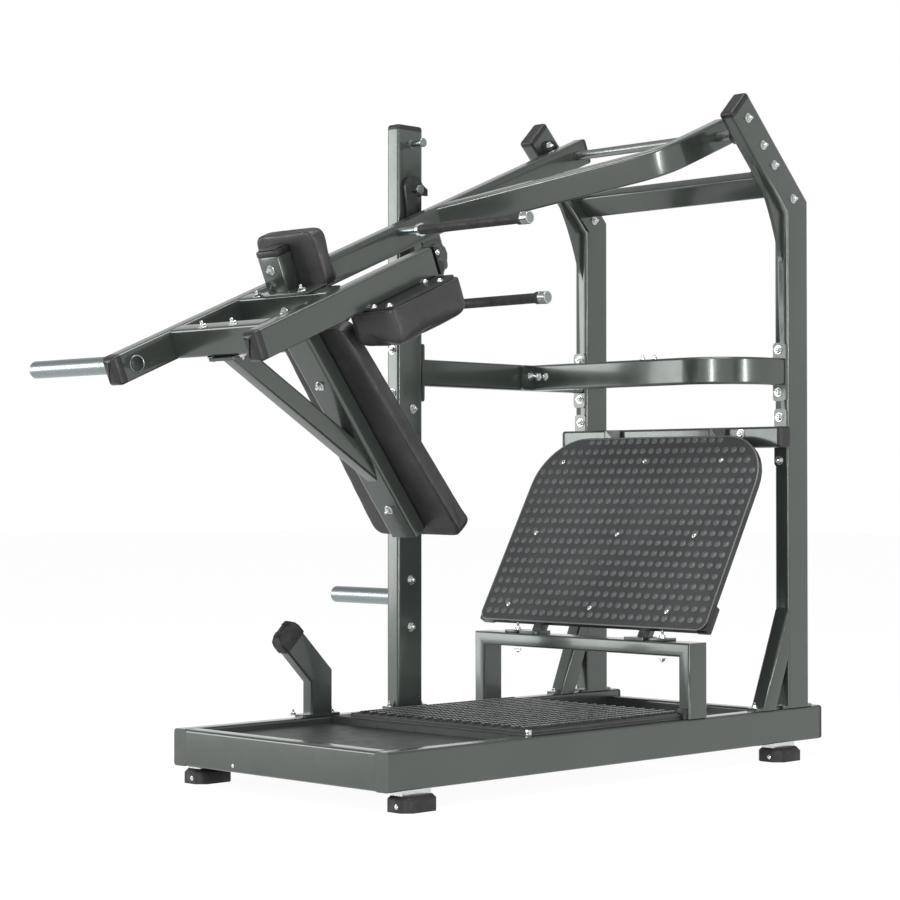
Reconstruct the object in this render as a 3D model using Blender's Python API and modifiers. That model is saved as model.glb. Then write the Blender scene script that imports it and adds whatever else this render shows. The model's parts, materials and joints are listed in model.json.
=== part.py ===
"""Pendulum hack squat machine, in metres with +Z up.

X runs from the weight horn at the front to the uprights at the rear, and Y from the near side to the
far side. The origin is on the floor, under the middle of the machine. Pieces are laid out from the
near front corner of the base rails, and one empty carries that corner to its place.
"""

import math

import bmesh
import bpy
from mathutils import Matrix, Vector

# Clearances
GAP = 0.0003
BORE_GAP = 0.0003
SINK = 0.004

# Tube sections
TUBE = 0.050
RAIL_H = 0.100
BEAM_H = 0.080
BAR = 0.040
CORNER = 0.008
CAP = 0.016
PLATE = 0.008

# Base
BASE_LENGTH = 1.778
BASE_WIDTH = 0.844
REAR_CROSS_H = 0.080
PAN_TOP = 0.079
PAN_SHEET = 0.003
TREAD_X = 0.521
TREAD_WIDTH = 0.688
TREAD_H = 0.019
TREAD_RIB_H = 0.004
TREAD_RIB_PITCH = 0.0365
FOOT_X = 0.100
FOOT_FROM_REAR = 0.170
FOOT_OUTSET = 0.004
FOOT_BLOCK_H = 0.012
FOOT_PAD = (0.125, 0.092, 0.040)

# Front post
POST_FROM_UPRIGHT = 0.8347
POST_DEPTH = 0.100
POST_TOP = 1.810
STORAGE_PEG_Z = 0.427
STORAGE_PEG_LENGTH = 0.282
PEG_RADIUS = 0.0245
HOOK_Z = 1.632
UPPER_PEG_Z = 1.769
PIN_RADIUS = 0.008
PIN_LENGTH = 0.043
HOOK_THICKNESS = 0.010
HOOK_GAP = 0.006

# Uprights, their arms and braces
UPRIGHT_FROM_REAR = 0.1513
UPRIGHT_DEPTH = 0.100
KNEE_Z = 1.5862
ARM_ANGLE = math.radians(45)
ARM_LENGTH = 0.380
PIVOT_ON_ARM = 0.2873
CROSSBAR_ON_ARM = 0.097
GUSSET_THICKNESS = 0.012
GUSSET_ARM = 0.190
GUSSET_DROP = 0.150
GUSSET_SAG = 0.018
BRACE_ANGLE = math.radians(22.5)
BRACE_RISE = 0.296
BRACE_DEPTH = 0.061

# Bars between the uprights, the post and each other
MID_BAR_Z = 1.094
MID_FLANGE_H = 0.173
BEND_FROM_UPRIGHT = 0.2357
BEND_RADIUS = 0.177
SUPPORT_Z = 0.869
SUPPORT_H = 0.063
SUPPORT_FLANGE_H = 0.170

# Foot plate, its rails and its stand
SLOPE = math.radians(30)
SLOPE_FOOT_FROM_UPRIGHT = 0.420
SLOPE_FOOT_Z = 0.3542
FOOT_PLATE_WIDTH = 0.886
FOOT_PLATE_BELOW = 0.008
FOOT_PLATE_ABOVE = 0.6375
FOOT_PLATE_SHEET = 0.018
PLATE_RAIL_DEPTH = 0.028
FOOT_PLATE_TOP_RADIUS = 0.167
FOOT_PLATE_LOW_RADIUS = 0.033
RAIL_SPREAD = 0.208
STAND_FROM_UPRIGHT = 0.4627
STAND_TOP = 0.313

# Lower stop
STOP_FROM_UPRIGHT = 1.1697
STOP_KNEE_Z = 0.232
STOP_ARM = 0.158
STOP_RUBBER = 0.055
STOP_RUBBER_LIP = 0.004

# Swinging arm, along the beam from the pivot
BEAM_ANGLE = math.radians(22.6)
BEAM_INSIDE_POST = 0.096
MAIN_BEAM_LENGTH = 1.900
MAIN_BEAM_TAIL = 0.045
NEAR_BEAM_Y = 0.280
NEAR_BEAM_FROM = 1.125
NEAR_BEAM_TO = 1.770
FRONT_CAP = 0.030
SHAFT_RADIUS = 0.014
SHAFT_SEAT = 0.003
FORK_Y = 0.139
FORK_ROOT = 0.623
FORK_SPREAD_ANGLE = math.radians(54.8)
FORK_BEND_RADIUS = 0.150
FORK_TAIL = 0.060
HORN_FROM_END = 0.043
HORN_DROP = 0.003
HORN_RADIUS = 0.02375
HORN_LENGTH = 0.457
FRONT_CROSS_ALONG = 1.700
REAR_CROSS_ALONG = 1.448
STUD_ALONG = 0.745
STUD_RADIUS = 0.010
STUD_LENGTH = 0.042
STUD_CLEARANCE = 0.003
DROP_ALONG = 0.707
DROP_H = 0.088

# Handles
UPPER_HANDLE = (0.823, 0.019)
LOWER_HANDLE = (0.804, -0.217)
HANDLE_ROD_RADIUS = 0.0125
GRIP_RADIUS = 0.0145
GRIP_LENGTH = 0.382
KNOB_RADIUS = 0.017
KNOB_LENGTH = 0.042
UPPER_ROD = 0.090
LOWER_ROD = 0.048

# Pads and their carriers
HEADREST_ALONG = 1.437
HEADREST_POST_TOP = 0.170
HEADREST_PAD = (0.052, 0.236, 0.155)
HEADREST_PAD_Z = 0.035
BACK_TILT = math.radians(14.54)
BACK_FOOT = (1.4395, -0.2307)
BACK_TUBE_WIDTH = 0.100
BACK_TUBE_LOW = 0.515
BACK_BRACE_FROM = 1.687
BACK_BRACE_ANGLE = math.radians(53.9)
BACK_BRACE_H = 0.055
BACK_PAD_LOW = 0.553
BACK_PAD_HIGH = 0.150
BACK_PAD_TOP_HALF = 0.135
BACK_PAD_LOW_HALF = 0.178
BACK_PAD_THICKNESS = 0.063
SHOULDER_FROM = 1.120
SHOULDER_TO = 1.395
SHOULDER_Y = 0.203
SHOULDER_WIDTH = 0.175
SHOULDER_H = 0.102
SHOULDER_PLATE = 0.006

# Worked out from the sizes above
FAR_Y = BASE_WIDTH - TUBE
FLOOR_Z = FOOT_BLOCK_H + FOOT_PAD[2]
UPRIGHT_X = BASE_LENGTH - UPRIGHT_FROM_REAR
POST_X = UPRIGHT_X - POST_FROM_UPRIGHT
BEND_X = UPRIGHT_X - BEND_FROM_UPRIGHT
STAND_X = UPRIGHT_X - STAND_FROM_UPRIGHT
STOP_X = UPRIGHT_X - STOP_FROM_UPRIGHT
SLOPE_FOOT = (UPRIGHT_X - SLOPE_FOOT_FROM_UPRIGHT, SLOPE_FOOT_Z)
REAR_FOOT_X = BASE_LENGTH - FOOT_FROM_REAR
TREAD_LENGTH = STAND_X - GAP - TREAD_X
DECK_Z = RAIL_H + GAP
KNEE_X = UPRIGHT_X + UPRIGHT_DEPTH / 2
ARM_DIRECTION = Vector((-math.sin(ARM_ANGLE), 0, math.cos(ARM_ANGLE)))
PIVOT = Vector((KNEE_X, 0, KNEE_Z)) + PIVOT_ON_ARM * ARM_DIRECTION
HOOK_X = POST_X + POST_DEPTH / 2
HOOK_PIN_POINT = Vector((HOOK_X, 0, HOOK_Z))
BEAM_FORWARD = Vector((-math.cos(BEAM_ANGLE), 0, -math.sin(BEAM_ANGLE)))
MAIN_BEAM_Y = FAR_Y - BEAM_INSIDE_POST
HORN_ALONG = MAIN_BEAM_LENGTH - HORN_FROM_END
BODY_Y = (NEAR_BEAM_Y + MAIN_BEAM_Y + TUBE) / 2
FRONT_REACH = (MAIN_BEAM_LENGTH + FRONT_CAP) * math.cos(BEAM_ANGLE) - PIVOT.x
MACHINE_MIDDLE_X = (BASE_LENGTH + CAP - FRONT_REACH) / 2
HORN_TIP_Y = MAIN_BEAM_Y + HORN_LENGTH
MACHINE_MIDDLE_Y = (HORN_TIP_Y + BASE_WIDTH / 2 - FOOT_PLATE_WIDTH / 2) / 2

# Colour, roughness and metallic value of each finish
PAINT = ((0.10, 0.11, 0.105), 0.35, 0.6)
CHROME = ((0.75, 0.75, 0.76), 0.12, 1.0)
BLACK_PLASTIC = ((0.012, 0.012, 0.013), 0.45, 0.0)
RUBBER = ((0.016, 0.016, 0.017), 0.75, 0.0)
VINYL = ((0.02, 0.02, 0.022), 0.5, 0.0)
DARK_STEEL = ((0.05, 0.052, 0.055), 0.4, 0.7)
TREAD_METAL = ((0.32, 0.33, 0.34), 0.35, 0.9)

PLANES = {
    "XY": (0, 0, 0),
    "XZ": (math.pi / 2, 0, 0),
    "YZ": (math.pi / 2, 0, math.pi / 2),
}
ALONG_Y = (-math.pi / 2, 0, 0)
ROUND = 28


def clear_scene():
    for obj in list(bpy.data.objects):
        bpy.data.objects.remove(obj, do_unlink=True)


def new_collection(name, helper=False):
    collection = bpy.data.collections.new(name)
    bpy.context.scene.collection.children.link(collection)
    collection.hide_render = helper
    return collection


def new_material(name, finish):
    colour, roughness, metallic = finish
    material = bpy.data.materials.new(name)
    material.use_nodes = True
    shader = material.node_tree.nodes["Principled BSDF"]
    shader.inputs["Base Color"].default_value = (*colour, 1)
    shader.inputs["Roughness"].default_value = roughness
    shader.inputs["Metallic"].default_value = metallic
    material.diffuse_color = (*colour, 1)
    return material


def new_empty(name, location, rotation=(0, 0, 0), parent=None):
    empty = bpy.data.objects.new(name, None)
    PARTS.objects.link(empty)
    empty.parent = parent
    empty.location = location
    empty.rotation_euler = rotation
    return empty


def place(name, data, parent, location, rotation=(0, 0, 0), finish=None):
    """An object of the model, or a cutter or a welded-on shape where it has no finish."""
    obj = bpy.data.objects.new(name, data)
    obj.parent = parent
    obj.location = location
    obj.rotation_euler = rotation
    if finish:
        PARTS.objects.link(obj)
        data.materials.append(new_material(name, finish))
    else:
        HELPERS.objects.link(obj)
        obj.hide_render = True
        obj.display_type = "WIRE"
    return obj


def combine(obj, tool, operation):
    modifier = obj.modifiers.new(tool.name, "BOOLEAN")
    modifier.operation = operation
    modifier.solver = "EXACT"
    modifier.object = tool
    return obj


def weld(obj, *shapes):
    for shape in shapes:
        combine(obj, shape, "UNION")
    return obj


def cut(obj, *cutters):
    for cutter in cutters:
        combine(obj, cutter, "DIFFERENCE")
    return obj


def finish_mesh(bm, name):
    bmesh.ops.recalc_face_normals(bm, faces=bm.faces)
    mesh = bpy.data.meshes.new(name)
    bm.to_mesh(mesh)
    bm.free()
    mesh.shade_smooth()
    mesh.set_sharp_from_angle(angle=math.radians(35))
    return mesh


def runs_along(edge, axis):
    span = edge.verts[1].co - edge.verts[0].co
    return abs(span[axis]) > 0.99 * span.length


def box_mesh(name, size, along=None, radius=CORNER, segments=2):
    """A box round its origin. Its edges along one axis are rounded, or all of them with "all"."""
    bm = bmesh.new()
    bmesh.ops.create_cube(bm, size=1)
    bmesh.ops.scale(bm, vec=size, verts=bm.verts)
    if along is not None:
        edges = [edge for edge in bm.edges if along == "all" or runs_along(edge, along)]
        bmesh.ops.bevel(bm, geom=edges, offset=radius, segments=segments, profile=0.5, affect="EDGES")
    return finish_mesh(bm, name)


def box(name, parent, low, high, along=None, finish=None, radius=CORNER, segments=2):
    low, high = Vector(low), Vector(high)
    mesh = box_mesh(name, high - low, along, radius, segments)
    return place(name, mesh, parent, (low + high) / 2, finish=finish)


def turned_box(name, parent, size, centre, tilt, along=None, finish=None, radius=CORNER):
    return place(name, box_mesh(name, size, along, radius), parent, centre, (0, tilt, 0), finish)


def cylinder(name, parent, centre, radius, length, rotation=ALONG_Y, finish=None, sides=ROUND):
    bm = bmesh.new()
    bmesh.ops.create_cone(bm, cap_ends=True, segments=sides, radius1=radius, radius2=radius, depth=length)
    return place(name, finish_mesh(bm, name), parent, centre, rotation, finish)


def screw(name, parent, profile, location, finish=None, rotation=ALONG_Y, closed=False):
    """Turns (radius, height) points, which run down the outer side from the top, round the height."""
    mesh = bpy.data.meshes.new(name)
    points = [(radius, 0, height) for radius, height in profile]
    edges = [(i, i + 1) for i in range(len(points) - 1)]
    if closed:
        edges.append((len(points) - 1, 0))
    mesh.from_pydata(points, edges, [])
    obj = place(name, mesh, parent, location, rotation, finish)
    turn = obj.modifiers.new("Turn", "SCREW")
    turn.axis = "Z"
    turn.steps = ROUND
    turn.render_steps = ROUND
    turn.use_merge_vertices = True
    turn.merge_threshold = 0.00001
    turn.use_smooth_shade = True
    return obj


def arc(centre, radius, start, end, steps):
    """Points on an arc between two angles in degrees."""
    angles = [math.radians(start + (end - start) * i / steps) for i in range(steps + 1)]
    return [(centre[0] + radius * math.cos(a), centre[1] + radius * math.sin(a)) for a in angles]


def outline_mesh(name, points, thickness, radius=0, sharp_ends=(), segments=2):
    """A flat outline with a thickness. Its rims are rounded, apart from those on the given end lines."""
    curve = bpy.data.curves.new(name, "CURVE")
    curve.dimensions = "2D"
    curve.fill_mode = "BOTH"
    curve.extrude = thickness / 2
    spline = curve.splines.new("POLY")
    spline.points.add(len(points) - 1)
    for point, (x, y) in zip(spline.points, points):
        point.co = (x, y, 0, 1)
    spline.use_cyclic_u = True
    holder = bpy.data.objects.new(name, curve)
    bpy.context.scene.collection.objects.link(holder)
    graph = bpy.context.evaluated_depsgraph_get()
    drawn = bpy.data.meshes.new_from_object(holder.evaluated_get(graph))
    bpy.data.objects.remove(holder, do_unlink=True)
    bm = bmesh.new()
    bm.from_mesh(drawn)
    bpy.data.meshes.remove(drawn)
    bmesh.ops.remove_doubles(bm, verts=bm.verts, dist=0.00001)
    bmesh.ops.recalc_face_normals(bm, faces=bm.faces)
    bmesh.ops.dissolve_limit(bm, angle_limit=math.radians(0.5), verts=bm.verts, edges=bm.edges)
    if radius:
        rims = [edge for edge in bm.edges if is_rim(edge) and not on_any(edge, sharp_ends)]
        bmesh.ops.bevel(bm, geom=rims, offset=radius, segments=segments, profile=0.5, affect="EDGES")
    return finish_mesh(bm, name)


def is_rim(edge):
    flat = abs(edge.verts[0].co.z - edge.verts[1].co.z) < 1e-6
    return flat and len(edge.link_faces) == 2 and edge.calc_face_angle() > math.radians(45)


def on_any(edge, lines):
    return any(all(on_line(vert.co, *line) for vert in edge.verts) for line in lines)


def on_line(point, start, end):
    start, end = Vector(start), Vector(end)
    side = (end - start).normalized()
    away = Vector(point[:2]) - start
    return abs(away.x * side.y - away.y * side.x) < 1e-5


def outline(name, parent, points, plane, middle, thickness, finish=None, radius=0, sharp_ends=()):
    """An outline in the plane XY, XZ or YZ, with its middle at a place on the third axis."""
    mesh = outline_mesh(name, points, thickness, radius, sharp_ends)
    location = {"XY": (0, 0, middle), "XZ": (0, middle, 0), "YZ": (middle, 0, 0)}[plane]
    return place(name, mesh, parent, location, PLANES[plane], finish)


def bent_strip(start, corner, end, width, bend_radius, start_cut=None, steps=10):
    """The outline of a bar of one width that bends once, and the lines of its two ends."""
    start, corner, end = Vector(start), Vector(corner), Vector(end)
    first = (corner - start).normalized()
    second = (end - corner).normalized()
    turn = first.angle_signed(second)
    hand = -1 if turn > 0 else 1
    reach = bend_radius * math.tan(abs(turn) / 2)
    centre = corner - first * reach + hand * bend_radius * Vector((-first.y, first.x))
    begin = centre - (corner - first * reach)
    sides = []
    for offset in (-width / 2, width / 2):
        across = Vector((-first.y, first.x))
        slant = start_cut.normalized() if start_cut else across
        side = [start + slant * offset / slant.dot(across)]
        arm = -begin.normalized() * (bend_radius - hand * offset)
        for i in range(steps + 1):
            side.append(centre + Matrix.Rotation(hand * abs(turn) * i / steps, 2) @ arm)
        side.append(end + Vector((-second.y, second.x)) * offset)
        sides.append(side)
    points = [tuple(p) for p in sides[0] + sides[1][::-1]]
    return points, [(sides[0][0], sides[1][0]), (sides[0][-1], sides[1][-1])]


def domed_cap(name, parent, size, centre, tilt=0, side=1, finish=BLACK_PLASTIC, up=2):
    """A cap with a rounded outer end, on the side of the given axis that faces away from its tube."""
    bm = bmesh.new()
    bmesh.ops.create_cube(bm, size=1)
    bmesh.ops.scale(bm, vec=size, verts=bm.verts)
    edges = [edge for edge in bm.edges if runs_along(edge, up)]
    bmesh.ops.bevel(bm, geom=edges, offset=CORNER, segments=2, profile=0.5, affect="EDGES")
    outer = side * size[up] / 2
    rim = [
        edge
        for edge in bm.edges
        if all(abs(vert.co[up] - outer) < 1e-6 for vert in edge.verts) and len(edge.link_faces) == 2
    ]
    bmesh.ops.bevel(bm, geom=rim, offset=size[up] * 0.55, segments=3, profile=0.5, affect="EDGES")
    return place(name, finish_mesh(bm, name), parent, centre, (0, tilt, 0), finish)


def cushion(name, parent, cuts, shape, location, rotation=(0, 0, 0), finish=VINYL):
    """A soft form: a cage cut at the given fractions, shaped by a rule, then subdivided."""
    bm = bmesh.new()
    bmesh.ops.create_cube(bm, size=1)
    bmesh.ops.translate(bm, vec=(0.5, 0.5, 0.5), verts=bm.verts)
    for axis, fractions in enumerate(cuts):
        normal = Vector((0, 0, 0))
        normal[axis] = 1
        for fraction in fractions:
            everything = bm.verts[:] + bm.edges[:] + bm.faces[:]
            bmesh.ops.bisect_plane(bm, geom=everything, plane_co=normal * fraction, plane_no=normal)
    crease = bm.edges.layers.float.new("crease_edge")
    for edge in bm.edges:
        flat = all(vert.co.x < 1e-6 for vert in edge.verts)
        if flat and any(abs(face.normal.x) < 0.5 for face in edge.link_faces):
            edge[crease] = 0.8
    for vert in bm.verts:
        vert.co = shape(*vert.co)
    obj = place(name, finish_mesh(bm, name), parent, location, rotation, finish)
    soften = obj.modifiers.new("Soften", "SUBSURF")
    soften.levels = 2
    soften.render_levels = 2
    return obj


def swell(fraction):
    """0 at both ends of a span and 1 in its middle."""
    return 1 - (2 * fraction - 1) ** 2


def both_sides():
    """The near and the far side: name, low edge of its rail, and the side that faces out."""
    return (("near", 0, -1), ("far", FAR_Y, 1))


def make_base(root):
    for name, low, _ in both_sides():
        rail = box(
            f"base_rail_{name}",
            root,
            (0, low, 0),
            (BASE_LENGTH, low + TUBE, RAIL_H),
            along=0,
            finish=PAINT,
        )
        for x in (FOOT_X, REAR_FOOT_X):
            half = FOOT_PAD[0] * 0.4
            block = box(
                f"foot_block_{name}_{x:.1f}",
                root,
                (x - half, low + SINK, -FOOT_BLOCK_H),
                (x + half, low + TUBE - SINK, SINK),
            )
            weld(rail, block)
        domed_cap(
            f"rail_cap_{name}",
            root,
            (CAP, TUBE, RAIL_H),
            (BASE_LENGTH + GAP + CAP / 2, low + TUBE / 2, RAIL_H / 2),
            up=0,
        )
    inner = (TUBE + GAP, FAR_Y - GAP)
    box(
        "base_cross_front",
        root,
        (0, inner[0], 0),
        (TUBE, inner[1], RAIL_H),
        along=1,
        finish=PAINT,
    )
    box(
        "base_cross_rear",
        root,
        (BASE_LENGTH - TUBE, inner[0], 0),
        (BASE_LENGTH, inner[1], REAR_CROSS_H),
        along=1,
        finish=PAINT,
    )
    for name, low, side in both_sides():
        for end, x in (("front", FOOT_X), ("rear", REAR_FOOT_X)):
            make_foot(f"foot_{end}_{name}", root, x, low + TUBE / 2 + side * FOOT_OUTSET)
    make_pan(root, inner)
    make_tread(root)


def make_foot(name, root, x, y):
    """A rubber foot with its corners cut off and its upper edge chamfered."""
    length, width, height = FOOT_PAD
    corner = width * 0.25
    bm = bmesh.new()
    bmesh.ops.create_cube(bm, size=1)
    bmesh.ops.scale(bm, vec=FOOT_PAD, verts=bm.verts)
    edges = [edge for edge in bm.edges if runs_along(edge, 2)]
    bmesh.ops.bevel(bm, geom=edges, offset=corner, segments=1, affect="EDGES")
    top = [edge for edge in bm.edges if all(vert.co.z > 0 for vert in edge.verts)]
    bmesh.ops.bevel(bm, geom=top, offset=height * 0.25, segments=1, affect="EDGES")
    z = -FOOT_BLOCK_H - height / 2
    place(name, finish_mesh(bm, name), root, (x, y, z), finish=RUBBER)


def make_pan(root, inner):
    """The recessed floor sheet, with the bars under it that carry the tread."""
    tread_rear = TREAD_X + TREAD_LENGTH
    front_bar = TREAD_X + 0.010
    pan = box(
        "floor_pan",
        root,
        (TUBE + GAP, inner[0], PAN_TOP - PAN_SHEET),
        (front_bar + SINK, inner[1], PAN_TOP),
        finish=PAINT,
    )
    side_y = TREAD_WIDTH + 0.016 - TUBE
    bars = (
        ("tread_bar_front", (front_bar, inner[0], RAIL_H - TUBE), (front_bar + TUBE, inner[1], RAIL_H)),
        ("tread_bar_rear", (tread_rear - TUBE, inner[0], RAIL_H - TUBE), (tread_rear, inner[1], RAIL_H)),
        (
            "tread_bar_side",
            (front_bar + SINK, side_y, RAIL_H - TUBE + 0.002),
            (tread_rear - SINK, side_y + TUBE, RAIL_H - 0.002),
        ),
    )
    weld(pan, *(box(name, root, low, high) for name, low, high in bars))


def make_tread(root):
    """The step plate: rounded ribs along X on a flat sheet."""
    low_y = 0.016
    base_z = DECK_Z
    sheet_top = base_z + TREAD_H - TREAD_RIB_H
    ribs = int((TREAD_WIDTH - 0.020) / TREAD_RIB_PITCH)
    margin = (TREAD_WIDTH - ribs * TREAD_RIB_PITCH) / 2
    half = TREAD_RIB_PITCH * 0.3
    points = [(low_y, base_z), (low_y + TREAD_WIDTH, base_z), (low_y + TREAD_WIDTH, sheet_top)]
    for rib in reversed(range(ribs)):
        middle = low_y + margin + (rib + 0.5) * TREAD_RIB_PITCH
        for step in range(5):
            angle = math.pi * step / 4
            points.append((middle + half * math.cos(angle), sheet_top + TREAD_RIB_H * math.sin(angle)))
    points.append((low_y, sheet_top))
    outline(
        "tread_plate",
        root,
        points,
        "YZ",
        TREAD_X + TREAD_LENGTH / 2,
        TREAD_LENGTH,
        finish=TREAD_METAL,
    )


def make_front_post(root):
    post = box(
        "front_post",
        root,
        (POST_X, FAR_Y, DECK_Z),
        (POST_X + POST_DEPTH, BASE_WIDTH, POST_TOP),
        along=2,
        finish=PAINT,
    )
    flange = box(
        "front_post_flange",
        root,
        (POST_X - 0.024, FAR_Y + 0.002, DECK_Z),
        (POST_X + POST_DEPTH + 0.024, BASE_WIDTH - 0.002, DECK_Z + PLATE),
        along=2,
    )
    weld(post, flange)
    domed_cap(
        "front_post_cap",
        root,
        (POST_DEPTH, TUBE, CAP),
        (HOOK_X, FAR_Y + TUBE / 2, POST_TOP + GAP + CAP / 2),
    )
    collar = 0.006
    screw(
        "storage_peg",
        root,
        rod_profile(PEG_RADIUS, STORAGE_PEG_LENGTH, foot=(PEG_RADIUS * 1.45, collar)),
        (HOOK_X, BASE_WIDTH + GAP, STORAGE_PEG_Z),
        finish=CHROME,
    )
    headed_pin("upper_peg", root, (HOOK_X, FAR_Y - GAP, UPPER_PEG_Z), CHROME)


def headed_pin(name, parent, location, finish=None):
    """A headed pin that stands toward the near side."""
    profile = rod_profile(PIN_RADIUS, PIN_LENGTH, head=(0.0135, 0.004), foot=(0.013, 0.003))
    return screw(name, parent, profile, location, finish=finish, rotation=(math.pi / 2, 0, 0))


def rod_profile(radius, length, head=None, foot=None):
    """A rod from 0 up to its length, with a rounded tip or a head disc, and a collar at its foot."""
    if head:
        head_radius, head_length = head
        tip = [
            (0, length),
            (head_radius - 0.001, length),
            (head_radius, length - 0.001),
            (head_radius, length - head_length),
            (radius, length - head_length),
        ]
    else:
        dome = radius * 0.35
        tip = [(0, length)]
        tip += [
            (radius * math.sin(math.pi * i / 8), length - dome + dome * math.cos(math.pi * i / 8))
            for i in range(1, 5)
        ]
    if foot:
        foot_radius, foot_length = foot
        end = [(radius, foot_length), (foot_radius, foot_length), (foot_radius, 0), (0, 0)]
    else:
        end = [(radius, 0), (0, 0)]
    return tip + end


def make_hook(empty):
    """The lock hook: a rounded head with its pin, and a finger whose toe swings under the catch stud."""
    stud = PIVOT - HOOK_PIN_POINT + STUD_ALONG * BEAM_FORWARD
    reach = math.hypot(stud.x, stud.z)
    toe_top = reach + STUD_RADIUS + STUD_CLEARANCE
    toe_low = toe_top + 0.012
    head = 0.036
    toe = [
        (-toe_top * math.sin(angle), -toe_top * math.cos(angle))
        for angle in (math.radians(5.8), math.radians(8.5), math.radians(11.2))
    ]
    tip = [(-toe_low * math.sin(math.radians(10.6)), -toe_low * math.cos(math.radians(10.6)))]
    points = arc((0, 0.007), head, 180, 20, 8)
    points += [(0.055, 0.006), (0.055, -0.013), (0.014, -0.013), (0.010, -0.040)]
    points += [(0.008, -toe_low + 0.012), (0.000, -toe_low)]
    points += tip + toe[::-1]
    points += [(-0.016, -0.125), (-0.024, -0.075)]
    hook = outline("lock_hook", empty, points, "XZ", 0, HOOK_THICKNESS, finish=DARK_STEEL)
    weld(hook, headed_pin("hook_pin", empty, (0, HOOK_GAP + HOOK_THICKNESS / 2 - GAP, 0)))


def make_uprights(root):
    across = Vector((math.cos(ARM_ANGLE), 0, math.sin(ARM_ANGLE))) * UPRIGHT_DEPTH / 2
    rise = UPRIGHT_DEPTH / 2 * math.tan(ARM_ANGLE / 2)
    knee = Vector((KNEE_X, 0, KNEE_Z))
    end = knee + ARM_LENGTH * ARM_DIRECTION
    front, rear = UPRIGHT_X, UPRIGHT_X + UPRIGHT_DEPTH
    foot = ((front, DECK_Z), (rear, DECK_Z))
    tip = ((end + across).xz[:], (end - across).xz[:])
    points = [foot[0], foot[1], (rear, KNEE_Z + rise), tip[0], tip[1], (front, KNEE_Z - rise)]
    for name, low, _ in both_sides():
        middle = low + TUBE / 2
        upright = outline(
            f"upright_{name}",
            root,
            points,
            "XZ",
            middle,
            TUBE,
            finish=PAINT,
            radius=CORNER,
            sharp_ends=(foot, tip),
        )
        gusset = outline(
            f"knee_gusset_{name}", root, gusset_points(rise), "XZ", middle, GUSSET_THICKNESS
        )
        flange = box(
            f"upright_flange_{name}",
            root,
            (front - 0.020, low + 0.002, DECK_Z),
            (rear + 0.020, low + TUBE - 0.002, DECK_Z + PLATE),
            along=2,
        )
        weld(upright, gusset, flange)
        centre = end + (CAP / 2 + GAP) * ARM_DIRECTION
        centre.y = middle
        domed_cap(
            f"arm_cap_{name}", root, (UPRIGHT_DEPTH, TUBE, CAP), centre, tilt=-ARM_ANGLE
        )
        make_brace(root, name, low)
        make_bearing(root, name, low)


def gusset_points(rise):
    """The rib in the knee's inner corner, with a hollow free edge."""
    corner = Vector((UPRIGHT_X, KNEE_Z - rise))
    along = ARM_DIRECTION.xz
    top = corner + along * GUSSET_ARM
    low = corner - Vector((0, GUSSET_DROP))
    inward = Vector((SINK, SINK))
    points = [top + inward, top]
    steps = 8
    sag = Vector((along.y, 1)).normalized() * GUSSET_SAG
    for i in range(1, steps):
        share = i / steps
        points.append(top.lerp(low, share) + sag * swell(share))
    points += [low, low + Vector((SINK, 0)), corner + Vector((SINK, SINK))]
    return [tuple(point) for point in points]


def make_brace(root, name, low):
    """The strut from the base rail to the foot of the upright."""
    run = BRACE_RISE * math.tan(BRACE_ANGLE)
    foot_length = BRACE_DEPTH / math.cos(BRACE_ANGLE)
    face = UPRIGHT_X - GAP
    front = face - run
    foot = ((front, DECK_Z), (front + foot_length, DECK_Z))
    rear_rise = (run - foot_length) / math.tan(BRACE_ANGLE)
    head = ((face, DECK_Z + rear_rise), (face, DECK_Z + BRACE_RISE))
    brace = outline(
        f"rear_brace_{name}",
        root,
        [foot[0], foot[1], head[0], head[1]],
        "XZ",
        low + TUBE / 2,
        TUBE,
        finish=PAINT,
        radius=CORNER,
        sharp_ends=(foot, head),
    )
    flange = box(
        f"brace_flange_{name}",
        root,
        (front - 0.022, low + SINK, DECK_Z),
        (front + foot_length / 2, low + TUBE - SINK, DECK_Z + PLATE),
        along=2,
    )
    weld(brace, flange)


def make_bearing(root, name, low):
    """A two-bolt flange bearing on the inner face of an arm."""
    inward = 1 if low == 0 else -1
    face = (low + TUBE if low == 0 else low) + inward * GAP
    length, width, plate, boss = 0.150, 0.074, 0.011, 0.030
    end = (length - width) / 2
    points = arc((end, 0), width / 2 - 0.008, -75, 75, 6) + arc((-end, 0), width / 2 - 0.008, 105, 255, 6)
    turn = Matrix.Rotation(math.pi / 2 + ARM_ANGLE, 2)
    points = [tuple(turn @ Vector(point)) for point in points]
    mesh = outline_mesh(f"pivot_bearing_{name}", points, plate)
    at = Vector((PIVOT.x, face + inward * plate / 2, PIVOT.z))
    bearing = place(f"pivot_bearing_{name}", mesh, root, at, PLANES["XZ"], DARK_STEEL)
    profile = [
        (0, boss),
        (0.026, boss),
        (0.029, boss - 0.003),
        (0.031, plate * 0.4),
        (0, plate * 0.4),
    ]
    rotation = ALONG_Y if inward > 0 else (math.pi / 2, 0, 0)
    housing = screw(f"bearing_housing_{name}", root, profile, (PIVOT.x, face, PIVOT.z), rotation=rotation)
    bore = cylinder(
        f"bearing_bore_{name}",
        root,
        (PIVOT.x, face + inward * (SHAFT_SEAT + 0.050), PIVOT.z),
        SHAFT_RADIUS + BORE_GAP,
        0.100,
    )
    weld(bearing, housing)
    cut(bearing, bore)


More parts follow.
